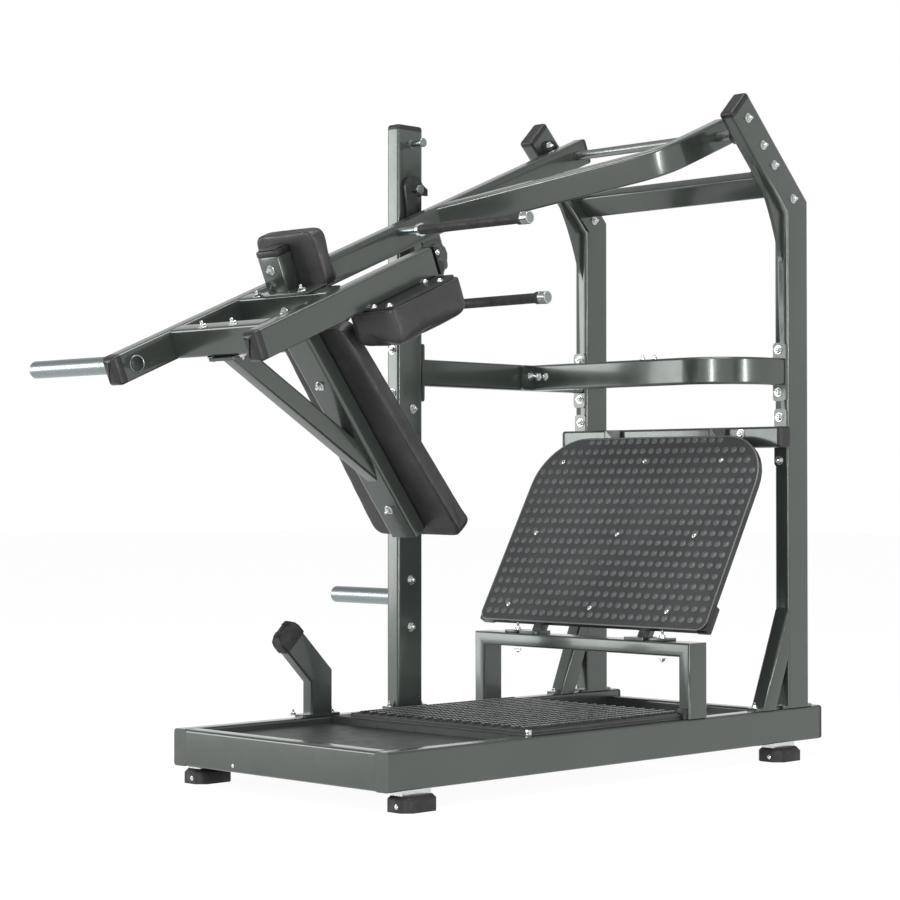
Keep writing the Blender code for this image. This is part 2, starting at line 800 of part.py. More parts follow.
def make_crossbars(root):
    """The top crossbar between the arms, with its end plates."""
    middle = Vector((KNEE_X, 0, KNEE_Z)) + CROSSBAR_ON_ARM * ARM_DIRECTION
    low, high = TUBE + GAP, FAR_Y - GAP
    centre = (middle.x, (low + high) / 2, middle.z)
    size = (BAR, high - low - SINK, BEAM_H)
    bar = turned_box("top_crossbar", root, size, centre, -ARM_ANGLE, along=1, finish=PAINT)
    for name, y in (("near", low + PLATE / 2), ("far", high - PLATE / 2)):
        plate = turned_box(
            f"crossbar_plate_{name}",
            root,
            (UPRIGHT_DEPTH * 0.9, PLATE, BEAM_H * 2),
            (middle.x, y, middle.z),
            -ARM_ANGLE,
            along=1,
        )
        weld(bar, plate)


def make_mid_bars(root):
    low_z, high_z = MID_BAR_Z - BEAM_H / 2, MID_BAR_Z + BEAM_H / 2
    bar_y = FAR_Y + (TUBE - BAR) / 2
    start, end = POST_X + POST_DEPTH + GAP, UPRIGHT_X - GAP
    flange = 0.010
    bar = box(
        "mid_bar_straight",
        root,
        (start + SINK, bar_y, low_z),
        (end - SINK, bar_y + BAR, high_z),
        along=0,
        finish=PAINT,
    )
    for name, x in (("front", start), ("rear", end - flange)):
        plate = box(
            f"mid_flange_{name}",
            root,
            (x, FAR_Y + 0.002, MID_BAR_Z - MID_FLANGE_H / 2),
            (x + flange, BASE_WIDTH - 0.002, MID_BAR_Z + MID_FLANGE_H / 2),
            along=0,
        )
        weld(bar, plate)
    near_y = TUBE / 2
    path_start = (BEND_X, bar_y - GAP - SINK)
    corner = (BEND_X, near_y)
    points, ends = bent_strip(path_start, corner, (end - SINK, near_y), BAR, BEND_RADIUS)
    bent = outline(
        "mid_bar_bent",
        root,
        points,
        "XY",
        MID_BAR_Z,
        BEAM_H,
        finish=PAINT,
        radius=CORNER,
        sharp_ends=ends,
    )
    side_plate = box(
        "bent_bar_flange_far",
        root,
        (BEND_X - BEAM_H * 0.9, bar_y - GAP - flange, low_z + 0.002),
        (BEND_X + BEAM_H * 0.9, bar_y - GAP, high_z - 0.002),
        along=1,
    )
    end_plate = box(
        "bent_bar_flange_near",
        root,
        (end - flange, 0.002, MID_BAR_Z - MID_FLANGE_H / 2),
        (end, TUBE - 0.002, MID_BAR_Z + MID_FLANGE_H / 2),
        along=0,
    )
    weld(bent, side_plate, end_plate)


def make_support(root):
    """The tube across the uprights that carries the top of the foot plate."""
    plate = 0.0055
    rear = UPRIGHT_X - GAP
    low_x = rear - plate - TUBE
    high_y = BASE_WIDTH - 0.006
    tube = box(
        "plate_support",
        root,
        (low_x, 0, SUPPORT_Z),
        (rear - plate + 0.001, high_y, SUPPORT_Z + SUPPORT_H),
        along=1,
        finish=PAINT,
    )
    middle = SUPPORT_Z + SUPPORT_H / 2
    for name, low, _ in both_sides():
        flange = box(
            f"support_flange_{name}",
            root,
            (rear - plate, low + 0.003, middle - SUPPORT_FLANGE_H / 2),
            (rear, low + TUBE - 0.003, middle + SUPPORT_FLANGE_H / 2),
            along=0,
        )
        weld(tube, flange)
    size = (TUBE, CAP, SUPPORT_H)
    for name, y, side in (("near", -GAP - CAP / 2, -1), ("far", high_y + GAP + CAP / 2, 1)):
        domed_cap(f"support_cap_{name}", root, size, (low_x + TUBE / 2, y, middle), side=side, up=1)
    return low_x


def make_foot_plate(root, slope, support_x):
    """The sloping foot plate on two rails, which stand on a bridge over the base."""
    half = FOOT_PLATE_WIDTH / 2
    middle_y = BASE_WIDTH / 2
    low, high = -FOOT_PLATE_BELOW, FOOT_PLATE_ABOVE
    top_r, low_r = FOOT_PLATE_TOP_RADIUS, FOOT_PLATE_LOW_RADIUS
    points = arc((half - low_r, low + low_r), low_r, -90, 0, 4)
    points += arc((half - top_r, high - top_r), top_r, 0, 90, 10)
    points += arc((-half + top_r, high - top_r), top_r, 90, 180, 10)
    points += arc((-half + low_r, low + low_r), low_r, 180, 270, 4)
    points = [(middle_y + y, z) for y, z in points]
    outline(
        "foot_plate",
        slope,
        points,
        "YZ",
        FOOT_PLATE_SHEET / 2,
        FOOT_PLATE_SHEET,
        finish=DARK_STEEL,
    )
    deck = STAND_TOP + GAP
    rise = Vector((math.sin(SLOPE), math.cos(SLOPE)))
    behind = Vector((math.cos(SLOPE), -math.sin(SLOPE)))
    foot = Vector(SLOPE_FOOT)
    front_line = foot + behind * (FOOT_PLATE_SHEET + GAP)
    rear_line = front_line + behind * PLATE_RAIL_DEPTH
    foot_ends = [line + rise * ((deck - line.y) / rise.y) for line in (front_line, rear_line)]
    top = FOOT_PLATE_ABOVE - 0.0015
    face = support_x - GAP
    bracket = 0.012
    for name, side in (("near", -1), ("far", 1)):
        y = middle_y + side * RAIL_SPREAD
        points = [foot_ends[0], foot_ends[1], rear_line + rise * top, front_line + rise * top]
        points = [tuple(point) for point in points]
        ends = ((points[0], points[1]), (points[2], points[3]))
        rail = outline(
            f"plate_rail_{name}",
            root,
            points,
            "XZ",
            y,
            BAR,
            finish=PAINT,
            radius=CORNER * 0.75,
            sharp_ends=ends,
        )
        foot_flange = box(
            f"plate_rail_foot_{name}",
            root,
            (STAND_X + SINK, y - BAR * 0.9, deck),
            (STAND_X + BEAM_H - SINK, y + BAR * 0.9, deck + PLATE),
            along=2,
        )
        head_flange = box(
            f"plate_rail_head_{name}",
            root,
            (face - bracket, y - BAR * 0.8, SUPPORT_Z + 0.002),
            (face, y + BAR * 0.8, SUPPORT_Z + SUPPORT_H - 0.002),
            along=0,
            radius=0.006,
        )
        weld(rail, foot_flange, head_flange)


def make_stand(root):
    """The bridge across the base that carries the lower end of the foot plate."""
    top = STAND_TOP
    under = top - BAR
    inner = (BAR, BASE_WIDTH - BAR)
    points = [
        (0, DECK_Z),
        (inner[0], DECK_Z),
        (inner[0], under),
        (inner[1], under),
        (inner[1], DECK_Z),
        (BASE_WIDTH, DECK_Z),
        (BASE_WIDTH, top),
        (0, top),
    ]
    feet = ((points[0], points[1]),)
    outline(
        "plate_stand",
        root,
        points,
        "YZ",
        STAND_X + BEAM_H / 2,
        BEAM_H,
        finish=PAINT,
        radius=CORNER * 0.75,
        sharp_ends=feet,
    )


def make_stop(root):
    """The mitred stub on the far rail, with a rubber end that stops the arm."""
    front, rear = STOP_X, STOP_X + BEAM_H
    fall = BEAM_H * math.tan(ARM_ANGLE / 2)
    along = Vector((-math.sin(ARM_ANGLE), math.cos(ARM_ANGLE)))
    across = Vector((math.cos(ARM_ANGLE), math.sin(ARM_ANGLE)))
    outer_knee = Vector((rear, STOP_KNEE_Z))
    outer_end = outer_knee + along * STOP_ARM
    inner_end = outer_end - across * BEAM_H
    foot = ((front, DECK_Z), (rear, DECK_Z))
    tip = (tuple(outer_end), tuple(inner_end))
    points = [foot[0], foot[1], tuple(outer_knee), tip[0], tip[1], (front, STOP_KNEE_Z - fall)]
    y = FAR_Y + TUBE / 2
    stub = outline(
        "stop_stub",
        root,
        points,
        "XZ",
        y,
        BAR,
        finish=PAINT,
        radius=CORNER * 0.75,
        sharp_ends=(foot, tip),
    )
    flange = box(
        "stop_flange",
        root,
        (front - 0.030, FAR_Y + 0.002, DECK_Z),
        (rear + 0.030, BASE_WIDTH - 0.002, DECK_Z + PLATE),
        along=2,
    )
    weld(stub, flange)
    centre = (outer_end + inner_end) / 2 + along * (STOP_RUBBER / 2 + GAP)
    lip = 2 * STOP_RUBBER_LIP
    size = (BEAM_H + lip, BAR + lip, STOP_RUBBER)
    domed_cap("stop_rubber", root, size, (centre.x, y, centre.y), tilt=-ARM_ANGLE, finish=RUBBER)


def make_main_beam(arm):
    low_y, high_y = MAIN_BEAM_Y, MAIN_BEAM_Y + TUBE
    half = BEAM_H / 2
    beam = box(
        "main_beam",
        arm,
        (-MAIN_BEAM_LENGTH, low_y, -half),
        (MAIN_BEAM_TAIL, high_y, half),
        along=0,
        finish=PAINT,
    )
    middle = MAIN_BEAM_Y + TUBE / 2
    drop = box(
        "drop_tube",
        arm,
        (-DROP_ALONG - BEAM_H / 2, low_y + 0.0005, -half - DROP_H),
        (-DROP_ALONG + BEAM_H / 2, high_y - 0.0005, -half + CORNER + SINK),
        along=2,
    )
    drop_cap = domed_cap(
        "drop_tube_cap",
        arm,
        (BEAM_H - 0.002, TUBE - 0.003, CAP + SINK),
        (-DROP_ALONG, middle, -half - DROP_H - CAP / 2 + SINK / 2),
        side=-1,
        finish=None,
    )
    screw(
        "catch_stud",
        arm,
        rod_profile(STUD_RADIUS, STUD_LENGTH),
        (-STUD_ALONG, high_y + GAP, 0),
        finish=CHROME,
    )
    bracket = make_handle_bracket(arm)
    weld(beam, drop, drop_cap, bracket, make_shoulder_plate(arm, "far"))
    cut(
        beam,
        cylinder("main_beam_shaft_bore", arm, (0, middle, 0), SHAFT_RADIUS + BORE_GAP, 2 * TUBE),
        cylinder(
            "main_beam_horn_bore",
            arm,
            (-HORN_ALONG, middle, -HORN_DROP),
            HORN_RADIUS + BORE_GAP,
            2 * TUBE,
        ),
    )
    domed_cap(
        "main_beam_cap_front",
        arm,
        (FRONT_CAP, TUBE, BEAM_H),
        (-MAIN_BEAM_LENGTH - GAP - FRONT_CAP / 2, middle, 0),
        side=-1,
        up=0,
    )
    domed_cap(
        "main_beam_cap_rear",
        arm,
        (CAP, TUBE, BEAM_H),
        (MAIN_BEAM_TAIL + GAP + CAP / 2, middle, 0),
        up=0,
    )
    screw(
        "weight_horn",
        arm,
        rod_profile(HORN_RADIUS, HORN_LENGTH + 0.001),
        (-HORN_ALONG, MAIN_BEAM_Y - 0.001, -HORN_DROP),
        finish=CHROME,
    )


def make_handle_bracket(arm):
    """The plate on the drop tube that reaches down to the lower handle."""
    along, drop = LOWER_HANDLE
    thickness = 0.010
    radius = 0.026
    top = (-DROP_ALONG, -BEAM_H / 2 - 0.052)
    lean = math.degrees(math.atan2(drop - top[1], -along - top[0]))
    points = arc((-along, drop), radius, lean - 90, lean + 90, 6)
    points += arc(top, 0.036, lean + 90, lean + 270, 6)
    y = MAIN_BEAM_Y - thickness / 2 + 0.001
    return outline("handle_bracket", arm, points, "XZ", y, thickness)


def make_shoulder_plate(arm, name):
    """The mounting plate between a beam and its shoulder pad."""
    low, high = shoulder_span(name)
    return box(
        f"shoulder_plate_{name}",
        arm,
        (-SHOULDER_TO + 0.006, low + 0.006, -BEAM_H / 2 - SHOULDER_PLATE),
        (-SHOULDER_FROM - 0.014, high - 0.006, -BEAM_H / 2 + 0.002),
        along=2,
        radius=0.012,
    )


def shoulder_span(name):
    near = (SHOULDER_Y, SHOULDER_Y + SHOULDER_WIDTH)
    return near if name == "near" else (2 * BODY_Y - near[1], 2 * BODY_Y - near[0])


def make_near_beam(arm):
    half = BEAM_H / 2
    low_y, high_y = NEAR_BEAM_Y, NEAR_BEAM_Y + TUBE
    beam = box(
        "near_beam",
        arm,
        (-NEAR_BEAM_TO, low_y, -half),
        (-NEAR_BEAM_FROM, high_y, half),
        along=0,
        finish=PAINT,
    )
    weld(beam, make_shoulder_plate(arm, "near"))
    middle = low_y + TUBE / 2
    caps = (
        ("near_beam_cap_front", -NEAR_BEAM_TO - GAP - FRONT_CAP / 2, FRONT_CAP, -1),
        ("near_beam_cap_rear", -NEAR_BEAM_FROM + GAP + FRONT_CAP / 2, FRONT_CAP, 1),
    )
    for name, x, length, side in caps:
        domed_cap(name, arm, (length, TUBE, BEAM_H), (x, middle, 0), side=side, up=0)


def make_cross_tubes(arm):
    """The two tubes between the beams, one at the horn's end and one at the back tube."""
    low_y, high_y = NEAR_BEAM_Y + TUBE + GAP, MAIN_BEAM_Y - GAP
    half = BEAM_H / 2
    for name, along in (("front", FRONT_CROSS_ALONG), ("rear", REAR_CROSS_ALONG)):
        box(
            f"cross_tube_{name}",
            arm,
            (-along - TUBE / 2, low_y, -half),
            (-along + TUBE / 2, high_y, half),
            along=1,
            finish=PAINT,
        )


def make_fork(arm):
    """The bent arm from the main beam to the near bearing, bored for the shaft."""
    outer = FORK_Y + TUBE / 2
    drop = MAIN_BEAM_Y - GAP - outer
    corner_along = FORK_ROOT - drop / math.tan(FORK_SPREAD_ANGLE)
    points, ends = bent_strip(
        (-FORK_ROOT, MAIN_BEAM_Y - GAP),
        (-corner_along, outer),
        (FORK_TAIL, outer),
        TUBE,
        FORK_BEND_RADIUS,
        start_cut=Vector((1, 0)),
    )
    fork = outline(
        "fork_arm",
        arm,
        points,
        "XY",
        0,
        BEAM_H,
        finish=PAINT,
        radius=CORNER,
        sharp_ends=ends,
    )
    bore = cylinder("fork_bore", arm, (0, outer, 0), SHAFT_RADIUS + BORE_GAP, 2 * TUBE)
    cut(fork, bore)


def make_shaft(arm):
    seat = SHAFT_SEAT + 2 * GAP
    low, high = TUBE + seat, FAR_Y - seat
    cylinder(
        "pivot_shaft",
        arm,
        (0, (low + high) / 2, 0),
        SHAFT_RADIUS,
        high - low,
        finish=DARK_STEEL,
    )


def make_handle(arm, name, place_on_arm, rod, root_y):
    """A chrome rod with a rubber grip over it and a knurled end."""
    along, height = place_on_arm
    washer = 0.004
    length = rod + GRIP_LENGTH + KNOB_LENGTH
    under = HANDLE_ROD_RADIUS
    profile = [
        (0, length),
        (KNOB_RADIUS - 0.003, length),
        (KNOB_RADIUS, length - 0.003),
        (KNOB_RADIUS, length - KNOB_LENGTH + GAP),
        (under, length - KNOB_LENGTH + GAP),
        (under, rod - GAP),
        (GRIP_RADIUS + 0.003, rod - GAP),
        (GRIP_RADIUS + 0.003, rod - washer),
        (under, rod - washer),
        (under, 0),
        (0, 0),
    ]
    toward_near = (math.pi / 2, 0, 0)
    location = (-along, root_y - GAP, height)
    screw(f"handle_rod_{name}", arm, profile, location, finish=CHROME, rotation=toward_near)
    inner = under + BORE_GAP
    sleeve = [
        (inner, rod),
        (inner, rod + GRIP_LENGTH),
        (GRIP_RADIUS - 0.001, rod + GRIP_LENGTH),
        (GRIP_RADIUS, rod + GRIP_LENGTH - 0.001),
        (GRIP_RADIUS, rod + 0.001),
        (GRIP_RADIUS - 0.001, rod),
    ]
    screw(
        f"handle_grip_{name}",
        arm,
        sleeve,
        location,
        finish=RUBBER,
        rotation=toward_near,
        closed=True,
    )


def make_headrest(arm):
    half = BEAM_H / 2
    half_width = BACK_TUBE_WIDTH / 2
    post_top = HEADREST_POST_TOP - CAP
    post = box(
        "headrest_post",
        arm,
        (-HEADREST_ALONG - TUBE / 2, BODY_Y - half_width, half + PLATE / 2),
        (-HEADREST_ALONG + TUBE / 2, BODY_Y + half_width, post_top),
        along=2,
        finish=PAINT,
    )
    flange = box(
        "headrest_flange",
        arm,
        (-HEADREST_ALONG - TUBE, BODY_Y - half_width - 0.025, half + GAP),
        (-HEADREST_ALONG + TUBE / 2, BODY_Y + half_width + 0.025, half + GAP + PLATE),
        along=2,
    )
    cap = domed_cap(
        "headrest_post_cap",
        arm,
        (TUBE - 0.002, BACK_TUBE_WIDTH - 0.002, CAP + SINK),
        (-HEADREST_ALONG, BODY_Y, post_top + (CAP - SINK) / 2),
        finish=None,
    )
    weld(post, flange, cap)
    depth, width, height = HEADREST_PAD

    def shape(u, v, w):
        crown = 0.82 + 0.18 * swell(v) * swell(w)
        draw = 0.94 if u < 0.01 else 1.0
        return Vector((u * depth * crown, (v - 0.5) * width * draw, (w - 0.5) * height * draw))

    cushion(
        "headrest_pad",
        arm,
        ((0.35,), (0.14, 0.5, 0.86), (0.2, 0.8)),
        shape,
        (-HEADREST_ALONG + TUBE / 2 + GAP, BODY_Y, HEADREST_PAD_Z + height / 2 + PLATE + 0.004),
    )


def make_back(arm, back):
    """The back tube and its strut hang under the cross tubes, and the tapered pad is on them."""
    half = BEAM_H / 2
    plate_low = -half - GAP - PLATE
    sink = plate_low + SINK
    down = Vector((math.sin(BACK_TILT), -math.cos(BACK_TILT)))
    out = Vector((math.cos(BACK_TILT), math.sin(BACK_TILT)))
    foot = Vector((-BACK_FOOT[0], BACK_FOOT[1]))
    front_top = foot + down * ((sink - foot.y) / down.y)
    rear = foot + out * TUBE
    rear_top = rear + down * ((sink - rear.y) / down.y)
    low = (tuple(rear + down * BACK_TUBE_LOW), tuple(foot + down * BACK_TUBE_LOW))
    points = [tuple(front_top), low[1], low[0], tuple(rear_top)]
    tube = outline(
        "back_tube",
        arm,
        points,
        "XZ",
        BODY_Y,
        BACK_TUBE_WIDTH,
        finish=PAINT,
        radius=CORNER,
        sharp_ends=(low, (points[0], points[3])),
    )
    flange = box(
        "back_tube_flange",
        arm,
        (points[0][0] - 0.012, BODY_Y - BACK_TUBE_WIDTH / 2 - 0.012, plate_low),
        (-REAR_CROSS_ALONG + TUBE / 2, BODY_Y + BACK_TUBE_WIDTH / 2 + 0.012, -half - GAP),
        along=2,
    )
    weld(tube, flange)
    strut = Vector((math.cos(BACK_BRACE_ANGLE), -math.sin(BACK_BRACE_ANGLE)))
    side = Vector((-strut.y, strut.x)) * BACK_BRACE_H / 2
    start = Vector((-BACK_BRACE_FROM, sink))
    face = foot - out * GAP
    top_pair, low_pair = [], []
    for offset in (side, -side):
        line = start + offset
        top_pair.append(line + strut * ((sink - line.y) / strut.y))
        reach = (face - line).dot(out) / strut.dot(out)
        low_pair.append(line + strut * reach)
    points = [tuple(point) for point in (top_pair[0], top_pair[1], low_pair[1], low_pair[0])]
    brace = outline(
        "back_brace",
        arm,
        points,
        "XZ",
        BODY_Y,
        TUBE,
        finish=PAINT,
        radius=CORNER,
        sharp_ends=((points[0], points[1]), (points[2], points[3])),
    )
    brace_flange = box(
        "back_brace_flange",
        arm,
        (-BACK_BRACE_FROM - 0.050, BODY_Y - TUBE, plate_low),
        (-BACK_BRACE_FROM + 0.050, BODY_Y + TUBE, -half - GAP),
        along=2,
    )
    weld(brace, brace_flange)
    make_back_pad(back)


def make_back_pad(back):
    length = BACK_PAD_LOW + BACK_PAD_HIGH

    def shape(u, v, w):
        half_width = BACK_PAD_LOW_HALF + (BACK_PAD_TOP_HALF - BACK_PAD_LOW_HALF) * w**1.3
        crown = 0.80 + 0.20 * swell(v) * min(1, 1.6 * swell(w))
        draw = 0.96 if u < 0.01 else 1.0
        middle = (w - 0.5) * (0.98 if u < 0.01 else 1.0) + 0.5
        thickness = u * BACK_PAD_THICKNESS * (crown if u > 0.5 else 1)
        return Vector((thickness, (2 * v - 1) * half_width * draw, middle * length - BACK_PAD_LOW))

    cushion(
        "back_pad",
        back,
        ((0.3,), (0.12, 0.5, 0.88), (0.06, 0.3, 0.7, 0.94)),
        shape,
        (TUBE + GAP, BODY_Y, 0),
    )


def make_shoulder_pads(arm):
    length = SHOULDER_TO - SHOULDER_FROM

    def shape(u, v, w):
        crown = 0.80 + 0.20 * swell(v) * swell(w)
        draw = 0.95 if u < 0.01 else 1.0
        depth = u * SHOULDER_H * (crown if u > 0.5 else 1)
        return Vector((depth, (v - 0.5) * SHOULDER_WIDTH * draw, (w - 0.5) * length * draw))

    top = -BEAM_H / 2 - SHOULDER_PLATE - GAP
    for name in ("near", "far"):
        low, high = shoulder_span(name)
        middle = -(SHOULDER_FROM + SHOULDER_TO) / 2
        cushion(
            f"shoulder_pad_{name}",
            arm,
            ((0.3,), (0.2, 0.5, 0.8), (0.15, 0.5, 0.85)),
            shape,
            (middle, (low + high) / 2, top),
            (0, math.pi / 2, 0),
        )


clear_scene()
PARTS = new_collection("pendulum_hack_squat_machine")
HELPERS = new_collection("cutters", helper=True)


def main():
    root = new_empty("machine", (-MACHINE_MIDDLE_X, -MACHINE_MIDDLE_Y, FLOOR_Z))
    arm = new_empty("arm_pivot", PIVOT, (0, -BEAM_ANGLE, 0), root)
    back = new_empty("back_slope", (-BACK_FOOT[0], 0, BACK_FOOT[1]), (0, -BACK_TILT, 0), arm)
    slope = new_empty("plate_slope", (SLOPE_FOOT[0], 0, SLOPE_FOOT[1]), (0, SLOPE, 0), root)
    hook_y = FAR_Y - HOOK_GAP - HOOK_THICKNESS / 2
    hook = new_empty("hook_pivot", (HOOK_X, hook_y, HOOK_Z), (0, 0, 0), root)
    make_base(root)
    make_front_post(root)
    make_uprights(root)
    make_crossbars(root)
    make_mid_bars(root)
    support_x = make_support(root)
    make_foot_plate(root, slope, support_x)
    make_stand(root)
    make_stop(root)
    make_hook(hook)
    make_main_beam(arm)
    make_near_beam(arm)
    make_cross_tubes(arm)
    make_fork(arm)
    make_shaft(arm)
    make_handle(arm, "upper", UPPER_HANDLE, UPPER_ROD, MAIN_BEAM_Y)
    make_handle(arm, "lower", LOWER_HANDLE, LOWER_ROD, MAIN_BEAM_Y - 0.009)
    make_headrest(arm)
    make_back(arm, back)
    make_shoulder_pads(arm)


main()
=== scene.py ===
"""The look of the pendulum hack squat machine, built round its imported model.

Metres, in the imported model's frame: +X from the weight horn to the uprights, +Y to the far side.
"""

import json
import math

import bmesh
import bpy
from mathutils import Matrix, Vector
from mathutils.bvhtree import BVHTree


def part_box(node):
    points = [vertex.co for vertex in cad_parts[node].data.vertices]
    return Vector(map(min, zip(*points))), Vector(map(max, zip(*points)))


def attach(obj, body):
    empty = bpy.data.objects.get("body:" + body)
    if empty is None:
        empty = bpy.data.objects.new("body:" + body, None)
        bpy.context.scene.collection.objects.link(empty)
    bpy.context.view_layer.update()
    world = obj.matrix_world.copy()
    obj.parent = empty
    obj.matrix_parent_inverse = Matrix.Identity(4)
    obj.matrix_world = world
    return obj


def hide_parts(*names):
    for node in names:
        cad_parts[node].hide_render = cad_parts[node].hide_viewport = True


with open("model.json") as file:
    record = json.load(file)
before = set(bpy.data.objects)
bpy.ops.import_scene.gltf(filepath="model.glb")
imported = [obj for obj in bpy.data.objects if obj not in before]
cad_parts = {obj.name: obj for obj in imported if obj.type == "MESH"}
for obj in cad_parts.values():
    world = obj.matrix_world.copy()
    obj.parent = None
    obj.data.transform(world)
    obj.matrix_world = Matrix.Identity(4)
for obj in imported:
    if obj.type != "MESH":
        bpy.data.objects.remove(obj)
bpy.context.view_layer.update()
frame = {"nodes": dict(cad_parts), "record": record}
NODES = frame["nodes"]

# Sizes of the model that the pieces are fitted to
PIVOT = Vector((0.730673, 0, 1.841352))
BEAM_ANGLE = math.radians(22.6)
BEAM_HALF = 0.040
BACK_LEAN = math.radians(-14.54)
BODY_Y = -0.053
SLOPE_FOOT = Vector((0.463825, 0, 0.4062))
MIDDLE_Y = -0.145
PLATE_LEAN = math.radians(30)
PLATE_HALF_WIDTH = 0.443
PLATE_SPAN = (-0.008, 0.6375)
PLATE_TOP_RADIUS = 0.167
PLATE_LOW_RADIUS = 0.033
TREAD_WIDTH = 0.688
TREAD_RIBS = 18
RIB_PITCH = 0.0365
NEAR_FACE = -0.567
FLANGE_TOP = 0.1603
STAND_BOLTS = (0.132, -0.436)
POST_FACE = 0.227
ARM_DIRECTION = Vector((-math.sqrt(0.5), 0, math.sqrt(0.5)))
CROSSBAR = Vector((0.86525, 0, 1.7068))
PEG = Vector((0.0991, 0, 0.479))
HORN = Vector((-0.9826, 0.130, 1.125))
# The two handles: X and Z of the rod, and how far it is moved to the far side
HANDLES = ((-0.03645, 0.0, 1.5426), (0.0718, 0.033, 1.33205))

# Frames: columns are the local X, Y and Z in the model's frame
ARM = Matrix.Translation(PIVOT) @ Matrix.Rotation(-BEAM_ANGLE, 4, "Y")
PLATE = Matrix.Translation(SLOPE_FOOT) @ Matrix.Rotation(PLATE_LEAN, 4, "Y")

TO_NEAR = Vector((0, -1, 0))
TO_FAR = Vector((0, 1, 0))
TO_FRONT = Vector((-1, 0, 0))
UP = Vector((0, 0, 1))


# --- Materials -------------------------------------------------------------------------------

# Most of a noise lies between these two values
NOISE_LOW = 0.35
NOISE_HIGH = 0.65


def new_tree(name, roughness, metallic=0.0, coat=0.0):
    """A material with its node tree and its shader."""
    material = bpy.data.materials.new(name)
    material.use_nodes = True
    shader = material.node_tree.nodes["Principled BSDF"]
    shader.inputs["Roughness"].default_value = roughness
    shader.inputs["Metallic"].default_value = metallic
    shader.inputs["Coat Weight"].default_value = coat
    shader.inputs["Coat Roughness"].default_value = 0.08
    return material, material.node_tree, shader


def coordinates(tree, stretch):
    """Object coordinates, which move with the piece, stretched by a factor along each axis."""
    source = tree.nodes.new("ShaderNodeTexCoord")
    mapping = tree.nodes.new("ShaderNodeMapping")
    mapping.inputs["Scale"].default_value = stretch
    tree.links.new(source.outputs["Object"], mapping.inputs["Vector"])
    return mapping.outputs["Vector"]


def noise(tree, vector, scale, detail=3.0):
    node = tree.nodes.new("ShaderNodeTexNoise")
    node.inputs["Scale"].default_value = scale
    node.inputs["Detail"].default_value = detail
    tree.links.new(vector, node.inputs["Vector"])
    return node.outputs["Fac"]


def cells(tree, vector, scale):
    node = tree.nodes.new("ShaderNodeTexVoronoi")
    node.inputs["Scale"].default_value = scale
    tree.links.new(vector, node.inputs["Vector"])
    return node.outputs["Distance"]


def spread(tree, value, low, high, start=NOISE_LOW, end=NOISE_HIGH):
    """Maps the range from start to end of a value to the one from low to high."""
    node = tree.nodes.new("ShaderNodeMapRange")
    node.inputs["From Min"].default_value = start
    node.inputs["From Max"].default_value = end
    node.inputs["To Min"].default_value = low
    node.inputs["To Max"].default_value = high
    tree.links.new(value, node.inputs["Value"])
    return node.outputs["Result"]


def vary_tone(tree, shader, vector, scale, dark, light):
    """The base colour wanders between two tones by a noise."""
    value = noise(tree, vector, scale)
    node = tree.nodes.new("ShaderNodeValToRGB")
    node.color_ramp.elements[0].position = NOISE_LOW
    node.color_ramp.elements[0].color = (*dark, 1)
    node.color_ramp.elements[1].position = NOISE_HIGH
    node.color_ramp.elements[1].color = (*light, 1)
    tree.links.new(value, node.inputs["Fac"])
    tree.links.new(node.outputs["Color"], shader.inputs["Base Color"])


def vary_gloss(tree, shader, vector, scale, low, high):
    """The roughness wanders between two values by a noise."""
    rough = spread(tree, noise(tree, vector, scale), low, high)
    tree.links.new(rough, shader.inputs["Roughness"])


def add_bump(tree, shader, *layers):
    """Stacks (height, distance, strength) layers of relief on the shader."""
    normal = None
    for height, distance, strength in layers:
        node = tree.nodes.new("ShaderNodeBump")
        node.inputs["Distance"].default_value = distance
        node.inputs["Strength"].default_value = strength
        tree.links.new(height, node.inputs["Height"])
        if normal:
            tree.links.new(normal, node.inputs["Normal"])
        normal = node.outputs["Normal"]
    tree.links.new(normal, shader.inputs["Normal"])


def make_material(
    name, roughness, tone, gloss, relief, metallic=0.0, coat=0.0, stretch=(1, 1, 1)
):
    """A surface whose tone, gloss and relief wander by noise.

    tone is (scale, dark, light), gloss (scale, low, high) or None, and each layer of relief
    (pattern, its numbers, distance, strength).
    """
    material, tree, shader = new_tree(name, roughness, metallic, coat)
    vector = coordinates(tree, stretch)
    vary_tone(tree, shader, vector, *tone)
    if gloss:
        vary_gloss(tree, shader, vector, *gloss)
    layers = [(pattern(tree, vector, *numbers), *depth) for pattern, numbers, *depth in relief]
    add_bump(tree, shader, *layers)
    return material


def metal_finish(name, tone, roughness):
    """Plated or ground steel. Its noise is finer along Y, like turning marks on the rods."""
    dark = tuple(0.9 * part for part in tone)
    gloss = (90, 0.7 * roughness, 1.4 * roughness)
    relief = [(noise, (240, 2), 0.0002, 0.03)]
    return make_material(
        name, roughness, (30, dark, tone), gloss, relief, metallic=1.0, stretch=(1, 8, 1)
    )


# Gunmetal paint: metal flakes under a clear coat with a little orange peel.
PAINT = make_material(
    "gunmetal_paint",
    0.24,
    (3, (0.079, 0.091, 0.083), (0.086, 0.099, 0.090)),
    (25, 0.21, 0.25),
    [(noise, (180, 1), 0.0002, 0.02), (cells, (2500,), 0.0001, 0.02)],
    metallic=0.6,
    coat=0.4,
)
# The same paint without gloss, as on the inner sheet.
PAN = make_material(
    "matt_paint",
    0.5,
    (3, (0.060, 0.070, 0.064), (0.072, 0.082, 0.076)),
    (25, 0.46, 0.56),
    [(cells, (2500,), 0.0001, 0.03)],
    metallic=0.4,
)
CHROME = metal_finish("polished_chrome", (0.28, 0.32, 0.325), 0.3)
ZINC = metal_finish("bright_zinc", (0.66, 0.68, 0.67), 0.2)
SHAFT = metal_finish("ground_steel", (0.26, 0.28, 0.27), 0.32)
